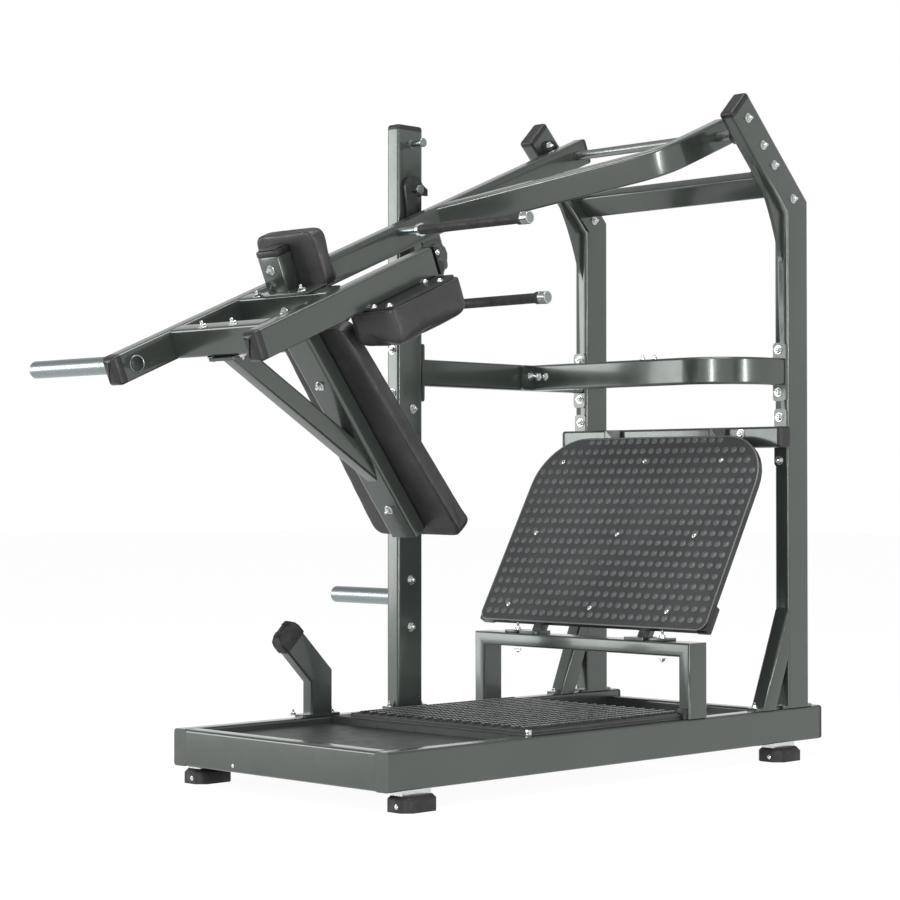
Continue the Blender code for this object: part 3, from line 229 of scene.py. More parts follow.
# Moulded plastic with a fine, even grain.
PLASTIC = make_material(
    "black_plastic",
    0.4,
    (25, (0.009, 0.009, 0.010), (0.017, 0.017, 0.018)),
    (60, 0.32, 0.48),
    [(cells, (900,), 0.0003, 0.12)],
)
# Dull rubber of the feet, the stop and the grips.
RUBBER = make_material(
    "black_rubber",
    0.6,
    (18, (0.011, 0.011, 0.012), (0.022, 0.022, 0.023)),
    (45, 0.5, 0.7),
    [(noise, (900, 2), 0.0003, 0.2)],
)
# Upholstery vinyl: a pebbled leather grain over soft, wide creases.
VINYL = make_material(
    "black_vinyl",
    0.42,
    (9, (0.020, 0.021, 0.020), (0.032, 0.033, 0.032)),
    (30, 0.34, 0.5),
    [
        (noise, (14, 3), 0.004, 0.12),
        (cells, (620,), 0.0004, 0.35),
        (noise, (1500, 2), 0.0001, 0.2),
    ],
)
# The piping, a little paler than the vinyl.
SEAM = make_material(
    "seam_vinyl",
    0.5,
    (400, (0.035, 0.035, 0.036), (0.075, 0.075, 0.076)),
    None,
    [(noise, (1200, 2), 0.0002, 0.3)],
)
# Satin black coat on steel.
STEEL = make_material(
    "satin_black_steel",
    0.35,
    (20, (0.028, 0.029, 0.030), (0.046, 0.047, 0.049)),
    (70, 0.28, 0.42),
    [(noise, (600, 2), 0.0003, 0.08)],
    metallic=0.4,
)
# The foot plate's sheet: dark grey with a fine knurl.
MAT = make_material(
    "knurled_sheet",
    0.5,
    (5, (0.044, 0.047, 0.048), (0.058, 0.061, 0.062)),
    (50, 0.4, 0.56),
    [(cells, (480,), 0.0008, 0.35)],
    metallic=0.3,
)
# Worn grey of the raised dots.
DOTS = make_material(
    "raised_dots",
    0.45,
    (70, (0.112, 0.118, 0.120), (0.135, 0.141, 0.143)),
    None,
    [(noise, (900, 2), 0.0003, 0.15)],
    metallic=0.3,
)
# Bare steel as a lit copy: painted light on top of the bumps as a highlight.
TREAD_HIGHLIGHT = make_material(
    "tread_highlight",
    0.3,
    (60, (0.42, 0.43, 0.43), (0.62, 0.63, 0.63)),
    (60, 0.26, 0.40),
    [(noise, (220, 2), 0.0003, 0.15)],
    metallic=0.9,
)
# A darker copy of the tread steel, painted shade on the tread plate and the sides of its bumps.
TREAD_SHADE = make_material(
    "tread_shade",
    0.5,
    (60, (0.030, 0.031, 0.032), (0.055, 0.057, 0.058)),
    (90, 0.42, 0.58),
    [(noise, (500, 2), 0.0004, 0.2)],
    metallic=0.6,
)

SLOT_MATERIALS = {
    "paint": PAINT,
    "chrome": CHROME,
    "black_plastic": PLASTIC,
    "rubber": RUBBER,
    "vinyl": VINYL,
    "dark_steel": STEEL,
    "tread_metal": TREAD_HIGHLIGHT,
}


def tint(mesh, material, chosen):
    """The faces that chosen picks by their normal and centre take another material."""
    mesh.materials.append(material)
    index = len(mesh.materials) - 1
    for face in mesh.polygons:
        if chosen(face.normal, face.center):
            face.material_index = index


def recolour(node, material, chosen):
    tint(NODES[node].data, material, chosen)


def every_face(normal, centre):
    return True


def dress_nodes():
    """Each carried-over node takes its slot's material, and some of its faces another one."""
    for part in frame["record"]["subparts"]:
        mesh = NODES[part["node"]].data
        mesh.materials.clear()
        mesh.materials.append(SLOT_MATERIALS[part["material_slot"]])
    to_arm = ARM.inverted()
    front = PLATE.to_3x3() @ TO_FRONT

    def shoulder_plate(normal, centre):
        """The plates that hold the shoulder pads stand out under and beside the beams."""
        x, y, z = to_arm @ centre
        if not (-1.40 < x < -1.10 and y < 0.2):
            return False
        return z < -BEAM_HALF + 0.0001 or y < -0.288 or -0.236 < y < 0.130

    def hook_pin(normal, centre):
        return centre.y < 0.2105

    def peg_collar(normal, centre):
        return (centre - PEG).xz.length > 0.0262

    recolour("floor_pan", PAN, every_face)
    recolour("pivot_shaft", SHAFT, every_face)
    recolour("foot_plate", MAT, lambda normal, centre: normal.dot(front) > 0.9)
    recolour("near_beam", PLASTIC, shoulder_plate)
    recolour("main_beam", PLASTIC, shoulder_plate)
    recolour("lock_hook", SHAFT, hook_pin)
    recolour("storage_peg", PLASTIC, peg_collar)
    for side in ("near", "far"):
        recolour(f"base_rail_{side}", ZINC, lambda normal, centre: centre.z < 0.0515)
        recolour(f"plate_rail_{side}", STEEL, lambda normal, centre: centre.z > 0.955)


SHARP_ANGLE = math.radians(50)


def smooth_group():
    """Geometry nodes that join the facets and keep only edges over the sharp angle sharp."""
    group = bpy.data.node_groups.new("smooth_by_angle", "GeometryNodeTree")
    for way in ("INPUT", "OUTPUT"):
        group.interface.new_socket("Geometry", in_out=way, socket_type="NodeSocketGeometry")
    forget = group.nodes.new("GeometryNodeRemoveAttribute")
    forget.inputs["Name"].default_value = "custom_normal"
    merge = group.nodes.new("GeometryNodeMergeByDistance")
    merge.inputs["Distance"].default_value = 0.00001
    smooth = group.nodes.new("GeometryNodeSetShadeSmooth")
    smooth.domain = "FACE"
    sharpen = group.nodes.new("GeometryNodeSetShadeSmooth")
    sharpen.domain = "EDGE"
    sharpen.inputs["Shade Smooth"].default_value = False
    angle = group.nodes.new("GeometryNodeInputMeshEdgeAngle")
    above = group.nodes.new("FunctionNodeCompare")
    above.inputs["B"].default_value = SHARP_ANGLE
    group.links.new(angle.outputs["Unsigned Angle"], above.inputs["A"])
    group.links.new(above.outputs["Result"], sharpen.inputs["Selection"])
    entry = group.nodes.new("NodeGroupInput")
    leave = group.nodes.new("NodeGroupOutput")
    chain = (entry, forget, merge, smooth, sharpen, leave)
    for before, after in zip(chain, chain[1:]):
        group.links.new(before.outputs[0], after.inputs[0])
    return group


def smooth_nodes():
    """Bends and rounded edges of the model shade smooth, and its flat faces stay flat."""
    group = smooth_group()
    for node in NODES.values():
        join = node.modifiers.new("Smooth", "NODES")
        join.node_group = group
        weigh = node.modifiers.new("Weigh", "WEIGHTED_NORMAL")
        weigh.mode = "FACE_AREA_WITH_ANGLE"
        weigh.keep_sharp = True


# --- Building pieces -------------------------------------------------------------------------

# Levels of a bolt over the face that it stands on
WASHER_FOOT = -0.0002
WASHER_RIM = 0.0012
WASHER_TOP = 0.0018
HEAD_EDGE = 0.0065
HEAD_TOP = 0.0078
DOME_FOOT = 0.0016
THREAD_TURNS = 4


def mesh_from(name, bm):
    mesh = bpy.data.meshes.new(name)
    bm.to_mesh(mesh)
    bm.free()
    return mesh


def add_object(name, data):
    made = bpy.data.objects.new(name, data)
    bpy.context.scene.collection.objects.link(made)
    return made


def finish_piece(name, bm, material, body, smooth=40):
    """Makes a piece of a mesh. Edges of more than smooth degrees stay sharp."""
    bmesh.ops.recalc_face_normals(bm, faces=bm.faces)
    mesh = mesh_from(name, bm)
    mesh.shade_smooth()
    mesh.set_sharp_from_angle(angle=math.radians(smooth))
    mesh.materials.append(material)
    piece = add_object(name, mesh)
    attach(piece, body)
    return piece


def axes_from(normal):
    """A matrix whose Z is the normal."""
    return normal.normalized().to_track_quat("Z", "X").to_matrix().to_4x4()


def round_point(radius, step, sides, height=0.0):
    """One corner of a regular polygon round Z."""
    angle = 2 * math.pi * step / sides
    return Vector((radius * math.cos(angle), radius * math.sin(angle), height))


def join_rings(bm, rings):
    """Faces between rings of equally many points, and one over each end."""
    count = len(rings[0])
    for low, high in zip(rings, rings[1:]):
        for step in range(count):
            after = (step + 1) % count
            bm.faces.new((low[step], low[after], high[after], high[step]))
    bm.faces.new(rings[0][::-1])
    bm.faces.new(rings[-1])


def lathe(bm, profile, place, sides=24):
    """Turns (radius, height) points round the Z of a matrix and closes both ends."""
    rings = []
    for radius, height in profile:
        ring = [place @ round_point(radius, step, sides, height) for step in range(sides)]
        rings.append([bm.verts.new(point) for point in ring])
    join_rings(bm, rings)


def add_washer(bm, place, radius, top):
    lathe(bm, [(radius, WASHER_FOOT), (radius, WASHER_RIM), (radius - 0.0006, top)], place)


def add_bolt(bm, point, normal, size=0.0105, tip=0.008):
    """A washer, a hexagon head with rounded corners, and the end of a thread on top."""
    place = Matrix.Translation(point) @ axes_from(normal)
    add_washer(bm, place, size * 1.32, WASHER_TOP)
    head = [(size, WASHER_TOP), (size, HEAD_EDGE), (size * 0.86, HEAD_TOP)]
    lathe(bm, head, place, sides=6)
    if tip:
        crest, root = size * 0.46, size * 0.40
        thread = [(crest, HEAD_TOP)]
        for turn in range(THREAD_TURNS):
            height = HEAD_TOP + tip * (turn + 0.5) / THREAD_TURNS
            thread += [(crest, height), (root, height + tip / (2 * THREAD_TURNS))]
        thread.append((size * 0.30, HEAD_TOP + tip + 0.0008))
        lathe(bm, thread, place, sides=14)


def add_dome(bm, point, normal, radius, height):
    """A round head bolt on a thin washer."""
    place = Matrix.Translation(point) @ axes_from(normal)
    add_washer(bm, place, radius * 1.3, DOME_FOOT)
    turns = [math.pi / 2 * step / 5 for step in range(5)]
    profile = [(radius * math.cos(turn), DOME_FOOT + height * math.sin(turn)) for turn in turns]
    profile.append((radius * 0.12, DOME_FOOT + height))
    lathe(bm, profile, place, sides=18)


def tube(bm, points, radius, closed=True):
    """A round tube along points, which runs into its own start or ends in two faces."""
    count, sides = len(points), 8
    rings = []
    for index, point in enumerate(points):
        before = points[(index - 1) % count] if closed or index else point
        after = points[(index + 1) % count] if closed or index < count - 1 else point
        turn = axes_from(after - before)
        ring = [point + turn @ round_point(radius, step, sides) for step in range(sides)]
        rings.append([bm.verts.new(spot) for spot in ring])
    pairs = list(zip(rings, rings[1:]))
    if closed:
        pairs.append((rings[-1], rings[0]))
    else:
        bm.faces.new(rings[0][::-1])
        bm.faces.new(rings[-1])
    for low, high in pairs:
        shift = min(range(sides), key=lambda s: (high[s].co - low[0].co).length)
        for step in range(sides):
            after = (step + 1) % sides
            ends = high[(after + shift) % sides], high[(step + shift) % sides]
            bm.faces.new((low[step], low[after], *ends))


def add_block(bm, low, high, place=Matrix(), bevel=0.0015):
    """A box between two corners, with its edges broken."""
    made = bmesh.ops.create_cube(bm, size=1)["verts"]
    for vert in made:
        corner = [a + (b - a) * (c + 0.5) for a, b, c in zip(low, high, vert.co)]
        vert.co = place @ Vector(corner)
    edges = {edge for vert in made for edge in vert.link_edges}
    bmesh.ops.bevel(bm, geom=list(edges), offset=bevel, segments=2, profile=0.5, affect="EDGES")


def add_knurl(bm, place, radius, height):
    """A sleeve with a diamond knurl and smooth shoulders."""
    rows, sides = 8, 28
    rings = []
    heights = [0, 0.0008] + [0.0015 + (height - 0.003) * row / rows for row in range(rows + 1)]
    heights += [height - 0.0008, height]
    for row, level in enumerate(heights):
        edge = row in (0, len(heights) - 1)
        ring = []
        for step in range(sides):
            reach = radius * (0.93 if edge else 1.0 - 0.11 * ((step + row) % 2))
            ring.append(bm.verts.new(place @ round_point(reach, step, sides, level)))
        rings.append(ring)
    join_rings(bm, rings)


# --- Cushions --------------------------------------------------------------------------------

VOXEL = 0.005
CLOTH_FRAMES = 20
# What lies this close to a pad's board doesn't swell
PINNED_DEPTH = 0.010


def evaluated_mesh(piece):
    """The mesh that a piece's modifiers make."""
    graph = bpy.context.evaluated_depsgraph_get()
    return bpy.data.meshes.new_from_object(piece.evaluated_get(graph))


def apply_modifiers(piece):
    mesh = evaluated_mesh(piece)
    piece.modifiers.clear()
    piece.data = mesh


def add_smooth(piece, iterations):
    smooth = piece.modifiers.new("Ease", "SMOOTH")
    smooth.factor = 0.5
    smooth.iterations = iterations


def pad_outline(low, high, half_low, half_high, radius, pull):
    """(width, length) points round a pad: arcs at its corners, and sides that draw in between."""
    arcs = []
    corners = (
        (half_low - radius, low + radius, -90),
        (half_high - radius, high - radius, 0),
        (radius - half_high, high - radius, 90),
        (radius - half_low, low + radius, 180),
    )
    for across, along, start in corners:
        angles = [math.radians(start + 15 * step) for step in range(7)]
        arcs.append([(across + radius * math.cos(a), along + radius * math.sin(a)) for a in angles])
    points = []
    for arc, following in zip(arcs, arcs[1:] + arcs[:1]):
        points += [Vector(point) for point in arc]
        first, last = Vector(arc[-1]), Vector(following[0])
        inward = Vector((first.y - last.y, last.x - first.x)).normalized()
        for step in range(1, 12):
            share = step / 12
            points.append(first.lerp(last, share) + inward * pull * 4 * share * (1 - share))
    return points


def drawn_in(outline, inset):
    """An outline moved inwards by some width."""
    points = []
    for index, point in enumerate(outline):
        along = outline[(index + 1) % len(outline)] - outline[index - 1]
        points.append(point - Vector((along.y, -along.x)).normalized() * inset)
    return points


def padded_block(name, place, outline, depth, fillet):
    """The filling before it swells: straight sides from the board and a rounded front edge."""
    levels = [(0, 0), (0, depth / 2), (0, depth - fillet)]
    for angle in (22.5, 45, 67.5, 90):
        turn = math.radians(angle)
        levels.append((fillet * (1 - math.cos(turn)), depth - fillet * (1 - math.sin(turn))))
    bm = bmesh.new()
    rings = []
    for inset, level in levels:
        ring = [place @ Vector((level, y, z)) for y, z in drawn_in(outline, inset)]
        rings.append([bm.verts.new(point) for point in ring])
    join_rings(bm, rings)
    bmesh.ops.recalc_face_normals(bm, faces=bm.faces)
    piece = add_object(name, mesh_from(name, bm))
    remesh = piece.modifiers.new("Remesh", "REMESH")
    remesh.mode = "VOXEL"
    remesh.voxel_size = VOXEL
    add_smooth(piece, 2)
    apply_modifiers(piece)
    return piece


def swell(piece, back, inward, cap):
    """Cloth under pressure puffs the pad. Points near its board stay, and none moves beyond cap."""
    start = [vert.co.copy() for vert in piece.data.vertices]
    pinned = piece.vertex_groups.new(name="board")
    for vert in piece.data.vertices:
        if (vert.co - back).dot(inward) < PINNED_DEPTH:
            pinned.add([vert.index], 1.0, "REPLACE")
    cloth = piece.modifiers.new("Cloth", "CLOTH")
    cloth.settings.quality = 5
    cloth.settings.mass = 0.3
    cloth.settings.tension_stiffness = 25
    cloth.settings.compression_stiffness = 25
    cloth.settings.shear_stiffness = 12
    cloth.settings.bending_stiffness = 3
    cloth.settings.use_pressure = True
    cloth.settings.uniform_pressure_force = 4
    cloth.settings.vertex_group_mass = pinned.name
    cloth.settings.effector_weights.gravity = 0
    cloth.point_cache.frame_start = 1
    cloth.point_cache.frame_end = CLOTH_FRAMES
    for step in range(1, CLOTH_FRAMES + 1):
        bpy.context.scene.frame_set(step)
    mesh = evaluated_mesh(piece)
    piece.modifiers.clear()
    piece.vertex_groups.clear()
    for vert, before in zip(mesh.vertices, start):
        move = vert.co - before
        if move.length > cap:
            vert.co = before + move * (cap / move.length)
    piece.data = mesh
    bpy.context.scene.frame_set(1)


def subdivide(piece):
    """Eases the creases and adds one subdivision."""
    add_smooth(piece, 6)
    divide = piece.modifiers.new("Smooth", "SUBSURF")
    divide.levels = 1
    divide.render_levels = 1
    apply_modifiers(piece)


def section_loop(mesh, point, normal):
    """The closed line in which a plane cuts a mesh, as points in order."""
    bm = bmesh.new()
    bm.from_mesh(mesh)
    geometry = bm.verts[:] + bm.edges[:] + bm.faces[:]
    cut = bmesh.ops.bisect_plane(bm, geom=geometry, plane_co=point, plane_no=normal)["geom_cut"]
    neighbours = {}
    for edge in cut:
        if isinstance(edge, bmesh.types.BMEdge):
            first, second = edge.verts
            neighbours.setdefault(first, []).append(second)
            neighbours.setdefault(second, []).append(first)
    start = next(iter(neighbours))
    line, before, here = [start.co.copy()], None, start
    while True:
        ways = [vert for vert in neighbours[here] if vert is not before]
        before, here = here, ways[0]
        if here is start:
            break
        line.append(here.co.copy())
    bm.free()
    return line


def evened(points, step):
    """Points at even steps along a closed line, smoothed a little."""
    lengths = [0.0]
    closed = points + [points[0]]
    for first, second in zip(closed, closed[1:]):
        lengths.append(lengths[-1] + (second - first).length)
    count = max(12, round(lengths[-1] / step))
    result, index = [], 0
    for number in range(count):
        target = lengths[-1] * number / count
        while lengths[index + 1] < target:
            index += 1
        share = (target - lengths[index]) / max(1e-9, lengths[index + 1] - lengths[index])
        result.append(closed[index].lerp(closed[index + 1], share))
    for _ in range(3):
        result = [
            (result[i - 1] + 2 * point + result[(i + 1) % count]) / 4
            for i, point in enumerate(result)
        ]
    return result


def laid_on(mesh, points):
    """The nearest points of a mesh to some points."""
    corners = [vert.co for vert in mesh.vertices]
    faces = [face.vertices[:] for face in mesh.polygons]
    surface = BVHTree.FromPolygons(corners, faces)
    return [surface.find_nearest(point)[0] for point in points]


def make_cushion(name, node, body, place, outline, depth, fillet, cap, seams, corner=0.0):
    """A stuffed pad in place of a node. Piped seams run round it at some shares of its depth, and
    up its corners when corner gives their radius."""
    shrink = cap * 0.4
    pad = padded_block(name, place, drawn_in(outline, shrink), depth - 2 * shrink, fillet)
    inward = place.to_3x3() @ Vector((1, 0, 0))
    swell(pad, place.translation, inward, cap)
    subdivide(pad)
    pad.data.shade_smooth()
    pad.data.materials.clear()
    pad.data.materials.append(VINYL)
    bm = bmesh.new()
    for share in seams:
        line = section_loop(pad.data, place.translation + inward * depth * share, inward)
        tube(bm, evened(line, 0.006), 0.0013)
    if corner:
        high = max(point.y for point in outline)
        half = max(point.x for point in outline)
        reach = corner * (1 - math.sqrt(0.5))
        levels = [depth * (0.02 + 0.07 * step) for step in range(11)]
        for across, along in ((1, 1), (1, -1), (-1, 1), (-1, -1)):
            y, z = across * (half - reach), along * (high - reach)
            guide = [place @ Vector((level, y, z)) for level in levels]
            tube(bm, laid_on(pad.data, guide), 0.0011, closed=False)
    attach(pad, body)
    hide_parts(node)
    finish_piece(f"{name}_piping", bm, SEAM, body)


def make_cushions():
    lean = Matrix.Rotation(BACK_LEAN, 4, "Y")
    back = ARM @ Matrix.Translation((-1.4395, 0, -0.2307)) @ lean
    make_cushion(
        "back_cushion",
        "back_pad",
        "arm",
        back @ Matrix.Translation((0.0503, BODY_Y, 0)),
        pad_outline(-0.550, 0.147, 0.176, 0.136, 0.034, 0.002),
        depth=0.063,
        fillet=0.012,
        cap=0.007,
        seams=(0.06, 0.80),
    )
    make_cushion(
        "head_cushion",
        "headrest_pad",
        "arm",
        ARM @ Matrix.Translation((-1.437 + 0.0253, BODY_Y, 0.110)),
        pad_outline(-0.083, 0.083, 0.119, 0.119, 0.030, 0.001),
        depth=0.053,
        fillet=0.010,
        cap=0.006,
        seams=(0.08, 0.82),
    )
    down = Matrix.Rotation(math.pi / 2, 4, "Y")
    for side, y in (("near", -0.2765), ("far", 0.1705)):
        make_cushion(
            f"shoulder_cushion_{side}",
            f"shoulder_pad_{side}",
            "arm",
            ARM @ Matrix.Translation((-1.2575, y, -BEAM_HALF - 0.0063)) @ down,
            pad_outline(-0.1420, 0.1420, 0.0880, 0.0880, 0.024, 0.002),
            depth=0.109,
            fillet=0.030,
            cap=0.007,
            seams=(0.03,),
            corner=0.024,
        )


# --- Foot plate and tread --------------------------------------------------------------------


def inside_plate(y, up, margin):
    """Whether a point of the foot plate is at least margin inside its rounded outline."""
    low, high = PLATE_SPAN
    across = abs(y - MIDDLE_Y)
    if across > PLATE_HALF_WIDTH - margin or not low + margin <= up <= high - margin:
        return False
    corner_y = across - (PLATE_HALF_WIDTH - PLATE_TOP_RADIUS)
    corner_up = up - (high - PLATE_TOP_RADIUS)
    if corner_y > 0 and corner_up > 0:
        return math.hypot(corner_y, corner_up) <= PLATE_TOP_RADIUS - margin
    return True


def plate_point(y, up, out=0.0):
    """A point on the foot plate's face, out of it by some height."""
    return PLATE @ Vector((-out, y, up))


def make_dots():
    """Rows of round raised dots with a ring in each."""
    bm = bmesh.new()
    profile = [
        (0.0106, -0.0003),
        (0.0103, 0.0012),
        (0.0094, 0.0018),
        (0.0082, 0.0018),
        (0.0074, 0.0006),
        (0.0060, 0.0006),
        (0.0052, 0.0015),
    ]
    rows, columns, pitch_up, pitch_across = 18, 27, 0.0352, 0.0318
    turn = axes_from(PLATE.to_3x3() @ TO_FRONT)
    for row in range(rows):
        for column in range(columns):
            y = MIDDLE_Y + (column - columns // 2) * pitch_across
            up = 0.024 + row * pitch_up
            if inside_plate(y, up, 0.015):
                lathe(bm, profile, Matrix.Translation(plate_point(y, up)) @ turn, sides=14)
    finish_piece("foot_plate_dots", bm, DOTS, "frame", smooth=50)


def plate_outline(inset, out):
    """Points round the foot plate's edge, drawn in by some width."""
    low, high = PLATE_SPAN
    half = PLATE_HALF_WIDTH
    corners = (
        (half - PLATE_LOW_RADIUS, low + PLATE_LOW_RADIUS, PLATE_LOW_RADIUS, -90),
        (half - PLATE_TOP_RADIUS, high - PLATE_TOP_RADIUS, PLATE_TOP_RADIUS, 0),
        (-half + PLATE_TOP_RADIUS, high - PLATE_TOP_RADIUS, PLATE_TOP_RADIUS, 90),
        (-half + PLATE_LOW_RADIUS, low + PLATE_LOW_RADIUS, PLATE_LOW_RADIUS, 180),
    )
    points = []
    for y, up, radius, start in corners:
        for step in range(13):
            angle = math.radians(start + 90 * step / 12)
            reach = radius - inset
            spot = (MIDDLE_Y + y + reach * math.cos(angle), up + reach * math.sin(angle))
            points.append(plate_point(*spot, out))
    return points


def make_plate_rim_highlight():
    """The chamfer round the sheet's front edge, in the dots' paler grey as a painted highlight."""
    bm = bmesh.new()
    outer = [bm.verts.new(point) for point in plate_outline(0.0, 0.0002)]
    inner = [bm.verts.new(point) for point in plate_outline(0.0035, 0.0016)]
    low = [bm.verts.new(point) for point in plate_outline(0.0050, 0.0002)]
    count = len(outer)
    for i in range(count):
        after = (i + 1) % count
        bm.faces.new((outer[i], outer[after], inner[after], inner[i]))
        bm.faces.new((inner[i], inner[after], low[after], low[i]))
        bm.faces.new((low[i], low[after], outer[after], outer[i]))
    # The rim's paler grey is a painted highlight on the sheet's edge.
    finish_piece("foot_plate_rim_highlight", bm, DOTS, "frame")


def make_plate_screws():
    """Nine screws that hold the sheet."""
    bm = bmesh.new()
    outward = PLATE.to_3x3() @ TO_FRONT
    for y in (-0.430, -0.135, 0.196):
        for up in (0.047, 0.297, 0.552):
            add_dome(bm, plate_point(y, up, 0.0008), outward, radius=0.0058, height=0.0022)
    finish_piece("foot_plate_screws", bm, ZINC, "frame")


def make_plate_guards():
    """Black blocks round the foot plate's lower corners, behind its sheet."""
    bm = bmesh.new()
    outer, inner = PLATE_HALF_WIDTH + 0.0032, PLATE_HALF_WIDTH - 0.045
    for first, last in ((-outer, -inner), (inner, outer)):
        low = (0.004, MIDDLE_Y + first, -0.0055)
        high = (0.034, MIDDLE_Y + last, 0.080)
        add_block(bm, low, high, PLATE, bevel=0.006)
    finish_piece("foot_plate_guards", bm, PLASTIC, "frame", smooth=35)


def make_tread():
    """Rows of bumps along the ribs with painted highlights on their tops, painted shade on their
    sides and on the plate between them, and black edge strips.
    """
    low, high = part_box("tread_plate")
    margin = (TREAD_WIDTH - TREAD_RIBS * RIB_PITCH) / 2

    def edge_strip(normal, centre):
        return abs(normal.z) < 0.3 and centre.z < 0.168

    # The whole tread plate takes the darker copy of the steel as painted shade.
    recolour("tread_plate", TREAD_SHADE, every_face)
    recolour("tread_plate", PLASTIC, edge_strip)
    bm = bmesh.new()
    profile = [(0.0098, 0), (0.0088, 0.0030), (0.0066, 0.0052), (0.0046, 0.0058)]
    count, end_gap = 44, 0.006
    pitch = (high.x - low.x - 2 * end_gap) / count
    for rib in range(TREAD_RIBS):
        y = low.y + margin + (rib + 0.5) * RIB_PITCH
        for step in range(count):
            x = low.x + end_gap + (step + 0.5) * pitch
            place = Matrix.Translation((x, y, high.z - 0.0026)) @ Matrix.Diagonal((0.72, 1, 1, 1))
            lathe(bm, profile, place, sides=10)
    bumps = finish_piece("tread_bumps", bm, TREAD_SHADE, "frame", smooth=70)
    # The bumps' top faces take the lit copy of the steel as a painted highlight.
    tint(bumps.data, TREAD_HIGHLIGHT, lambda normal, centre: normal.z > 0.9)


def make_tread_trim():
    """The light line on the tread's black edge, its bright corner clip and the block at its end."""
    low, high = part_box("tread_plate")
    bm = bmesh.new()
    for level in (low.z + 0.0022, low.z + 0.0112):
        ends = ((low.x, high.y), (low.x, low.y), (high.x, low.y))
        line = [Vector((x - 0.0004, y - 0.0004, level)) for x, y in ends]
        tube(bm, line[:2], 0.0008, closed=False)
        tube(bm, line[1:], 0.0008, closed=False)
    finish_piece("tread_edge_lines", bm, DOTS, "frame")
    bm = bmesh.new()
    clip = (low.x + 0.010, low.y + 0.012, low.z + 0.0165)
    add_block(bm, (low.x - 0.001, low.y - 0.001, low.z), clip)
    finish_piece("tread_corner_clip", bm, ZINC, "frame", smooth=25)
    bm = bmesh.new()
    block = (high.x + 0.0006, low.y + 0.012, low.z + 0.030)
    add_block(bm, (high.x - 0.020, low.y - 0.010, low.z), block)
    finish_piece("tread_end_block", bm, PLASTIC, "frame", smooth=25)


# --- Fasteners and fittings ------------------------------------------------------------------


def add_bolt_pair(bm, point, normal, *sizes):
    """A bolt and its mirror image at the other side of the machine."""
    mirrored = Vector((point[0], 2 * MIDDLE_Y - point[1], point[2]))
    add_bolt(bm, Vector(point), normal, *sizes)
    add_bolt(bm, mirrored, Vector((normal[0], -normal[1], normal[2])), *sizes)


def on_arm_level(point, level):
    """A point moved along the arm's own up direction to a height from the beam's middle."""
    local = ARM.inverted() @ Vector(point)
    return ARM @ Vector((local.x, local.y, level))


def make_frame_bolts():
    """Bolts of the bearings, crossbar, post, uprights, middle bars and plate support."""
    bm = bmesh.new()
    pivot_bolts = [PIVOT + ARM_DIRECTION * reach for reach in (-0.0505, 0.0505)]
    bar_bolts = [CROSSBAR + ARM_DIRECTION * reach for reach in (-0.0645, 0.0645)]
    for spot in pivot_bolts + bar_bolts:
        add_bolt_pair(bm, (spot.x, NEAR_FACE, spot.z), TO_NEAR)
    for spots, inner_face in ((pivot_bolts, -0.5058), (bar_bolts, -0.5087)):
        for spot in spots:
            add_bolt_pair(bm, (spot.x, inner_face, spot.z), TO_FAR)
    for x, z in ((0.101, 0.5305), (0.101, 0.3917), (0.109, 1.0364)):
        add_bolt(bm, Vector((x, POST_FACE, z)), TO_NEAR)
    for z in (1.2103, 1.082):
        add_bolt(bm, Vector((0.0491, 0.252, z)), TO_FRONT)
    for x, levels in ((0.8735, (1.2120, 1.0862)), (0.8780, (1.0122, 0.8853))):
        for z in levels:
            add_bolt_pair(bm, (x, -0.5385, z), TO_FRONT)
    add_bolt(bm, Vector((0.6150, 0.2217, 1.1500)), TO_NEAR, 0.010, 0.010)
    for y in (0.200, 0.172):
        add_bolt(bm, Vector((0.6281, y, 1.1480)), TO_FRONT, 0.009, 0.004)
    for y in (-0.2114, -0.2583):
        add_bolt(bm, Vector((0.640, y, 1.1860)), UP, 0.007, 0.006)
    add_bolt(bm, Vector((0.8280, -0.4349, 0.9640)), TO_FRONT)
    finish_piece("frame_bolts", bm, ZINC, "frame", smooth=35)


def make_base_bolts():
    """Bolts through the flanges that stand on the rails, and under the bridge stand."""
    bm = bmesh.new()
    for x in (0.037, 0.161, -0.338, -0.194):
        add_bolt(bm, Vector((x, 0.252, FLANGE_TOP)), UP, 0.008, 0.008)
    for x in (0.752, 0.994):
        add_bolt_pair(bm, (x, -0.542, FLANGE_TOP), UP, 0.008, 0.008)
    for y in STAND_BOLTS:
        add_bolt(bm, Vector((0.461, y, 0.3733)), UP, 0.009, 0.012)
        add_bolt(bm, Vector((0.461, y, 0.3153)), -UP, 0.009, 0.003)
    finish_piece("base_bolts", bm, ZINC, "frame", smooth=35)
    bm = bmesh.new()
    for y in STAND_BOLTS:
        add_block(bm, (0.430, y - 0.026, 0.3651), (0.492, y + 0.026, 0.3733))
    finish_piece("rail_foot_plates", bm, PAINT, "frame", smooth=25)


def make_foot_screws():
    """A screw in each rubber foot and one in the front cross rail."""
    bm = bmesh.new()
    for end in ("front", "rear"):
        for side in ("near", "far"):
            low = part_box(f"foot_{end}_{side}")[0]
            add_dome(bm, Vector((low.x, low.y + 0.036, 0.015)), TO_FRONT, 0.0050, 0.0030)
    add_dome(bm, Vector((-0.7429, 0.0279, 0.0701)), TO_FRONT, 0.0040, 0.0020)
    finish_piece("foot_screws", bm, ZINC, "frame")


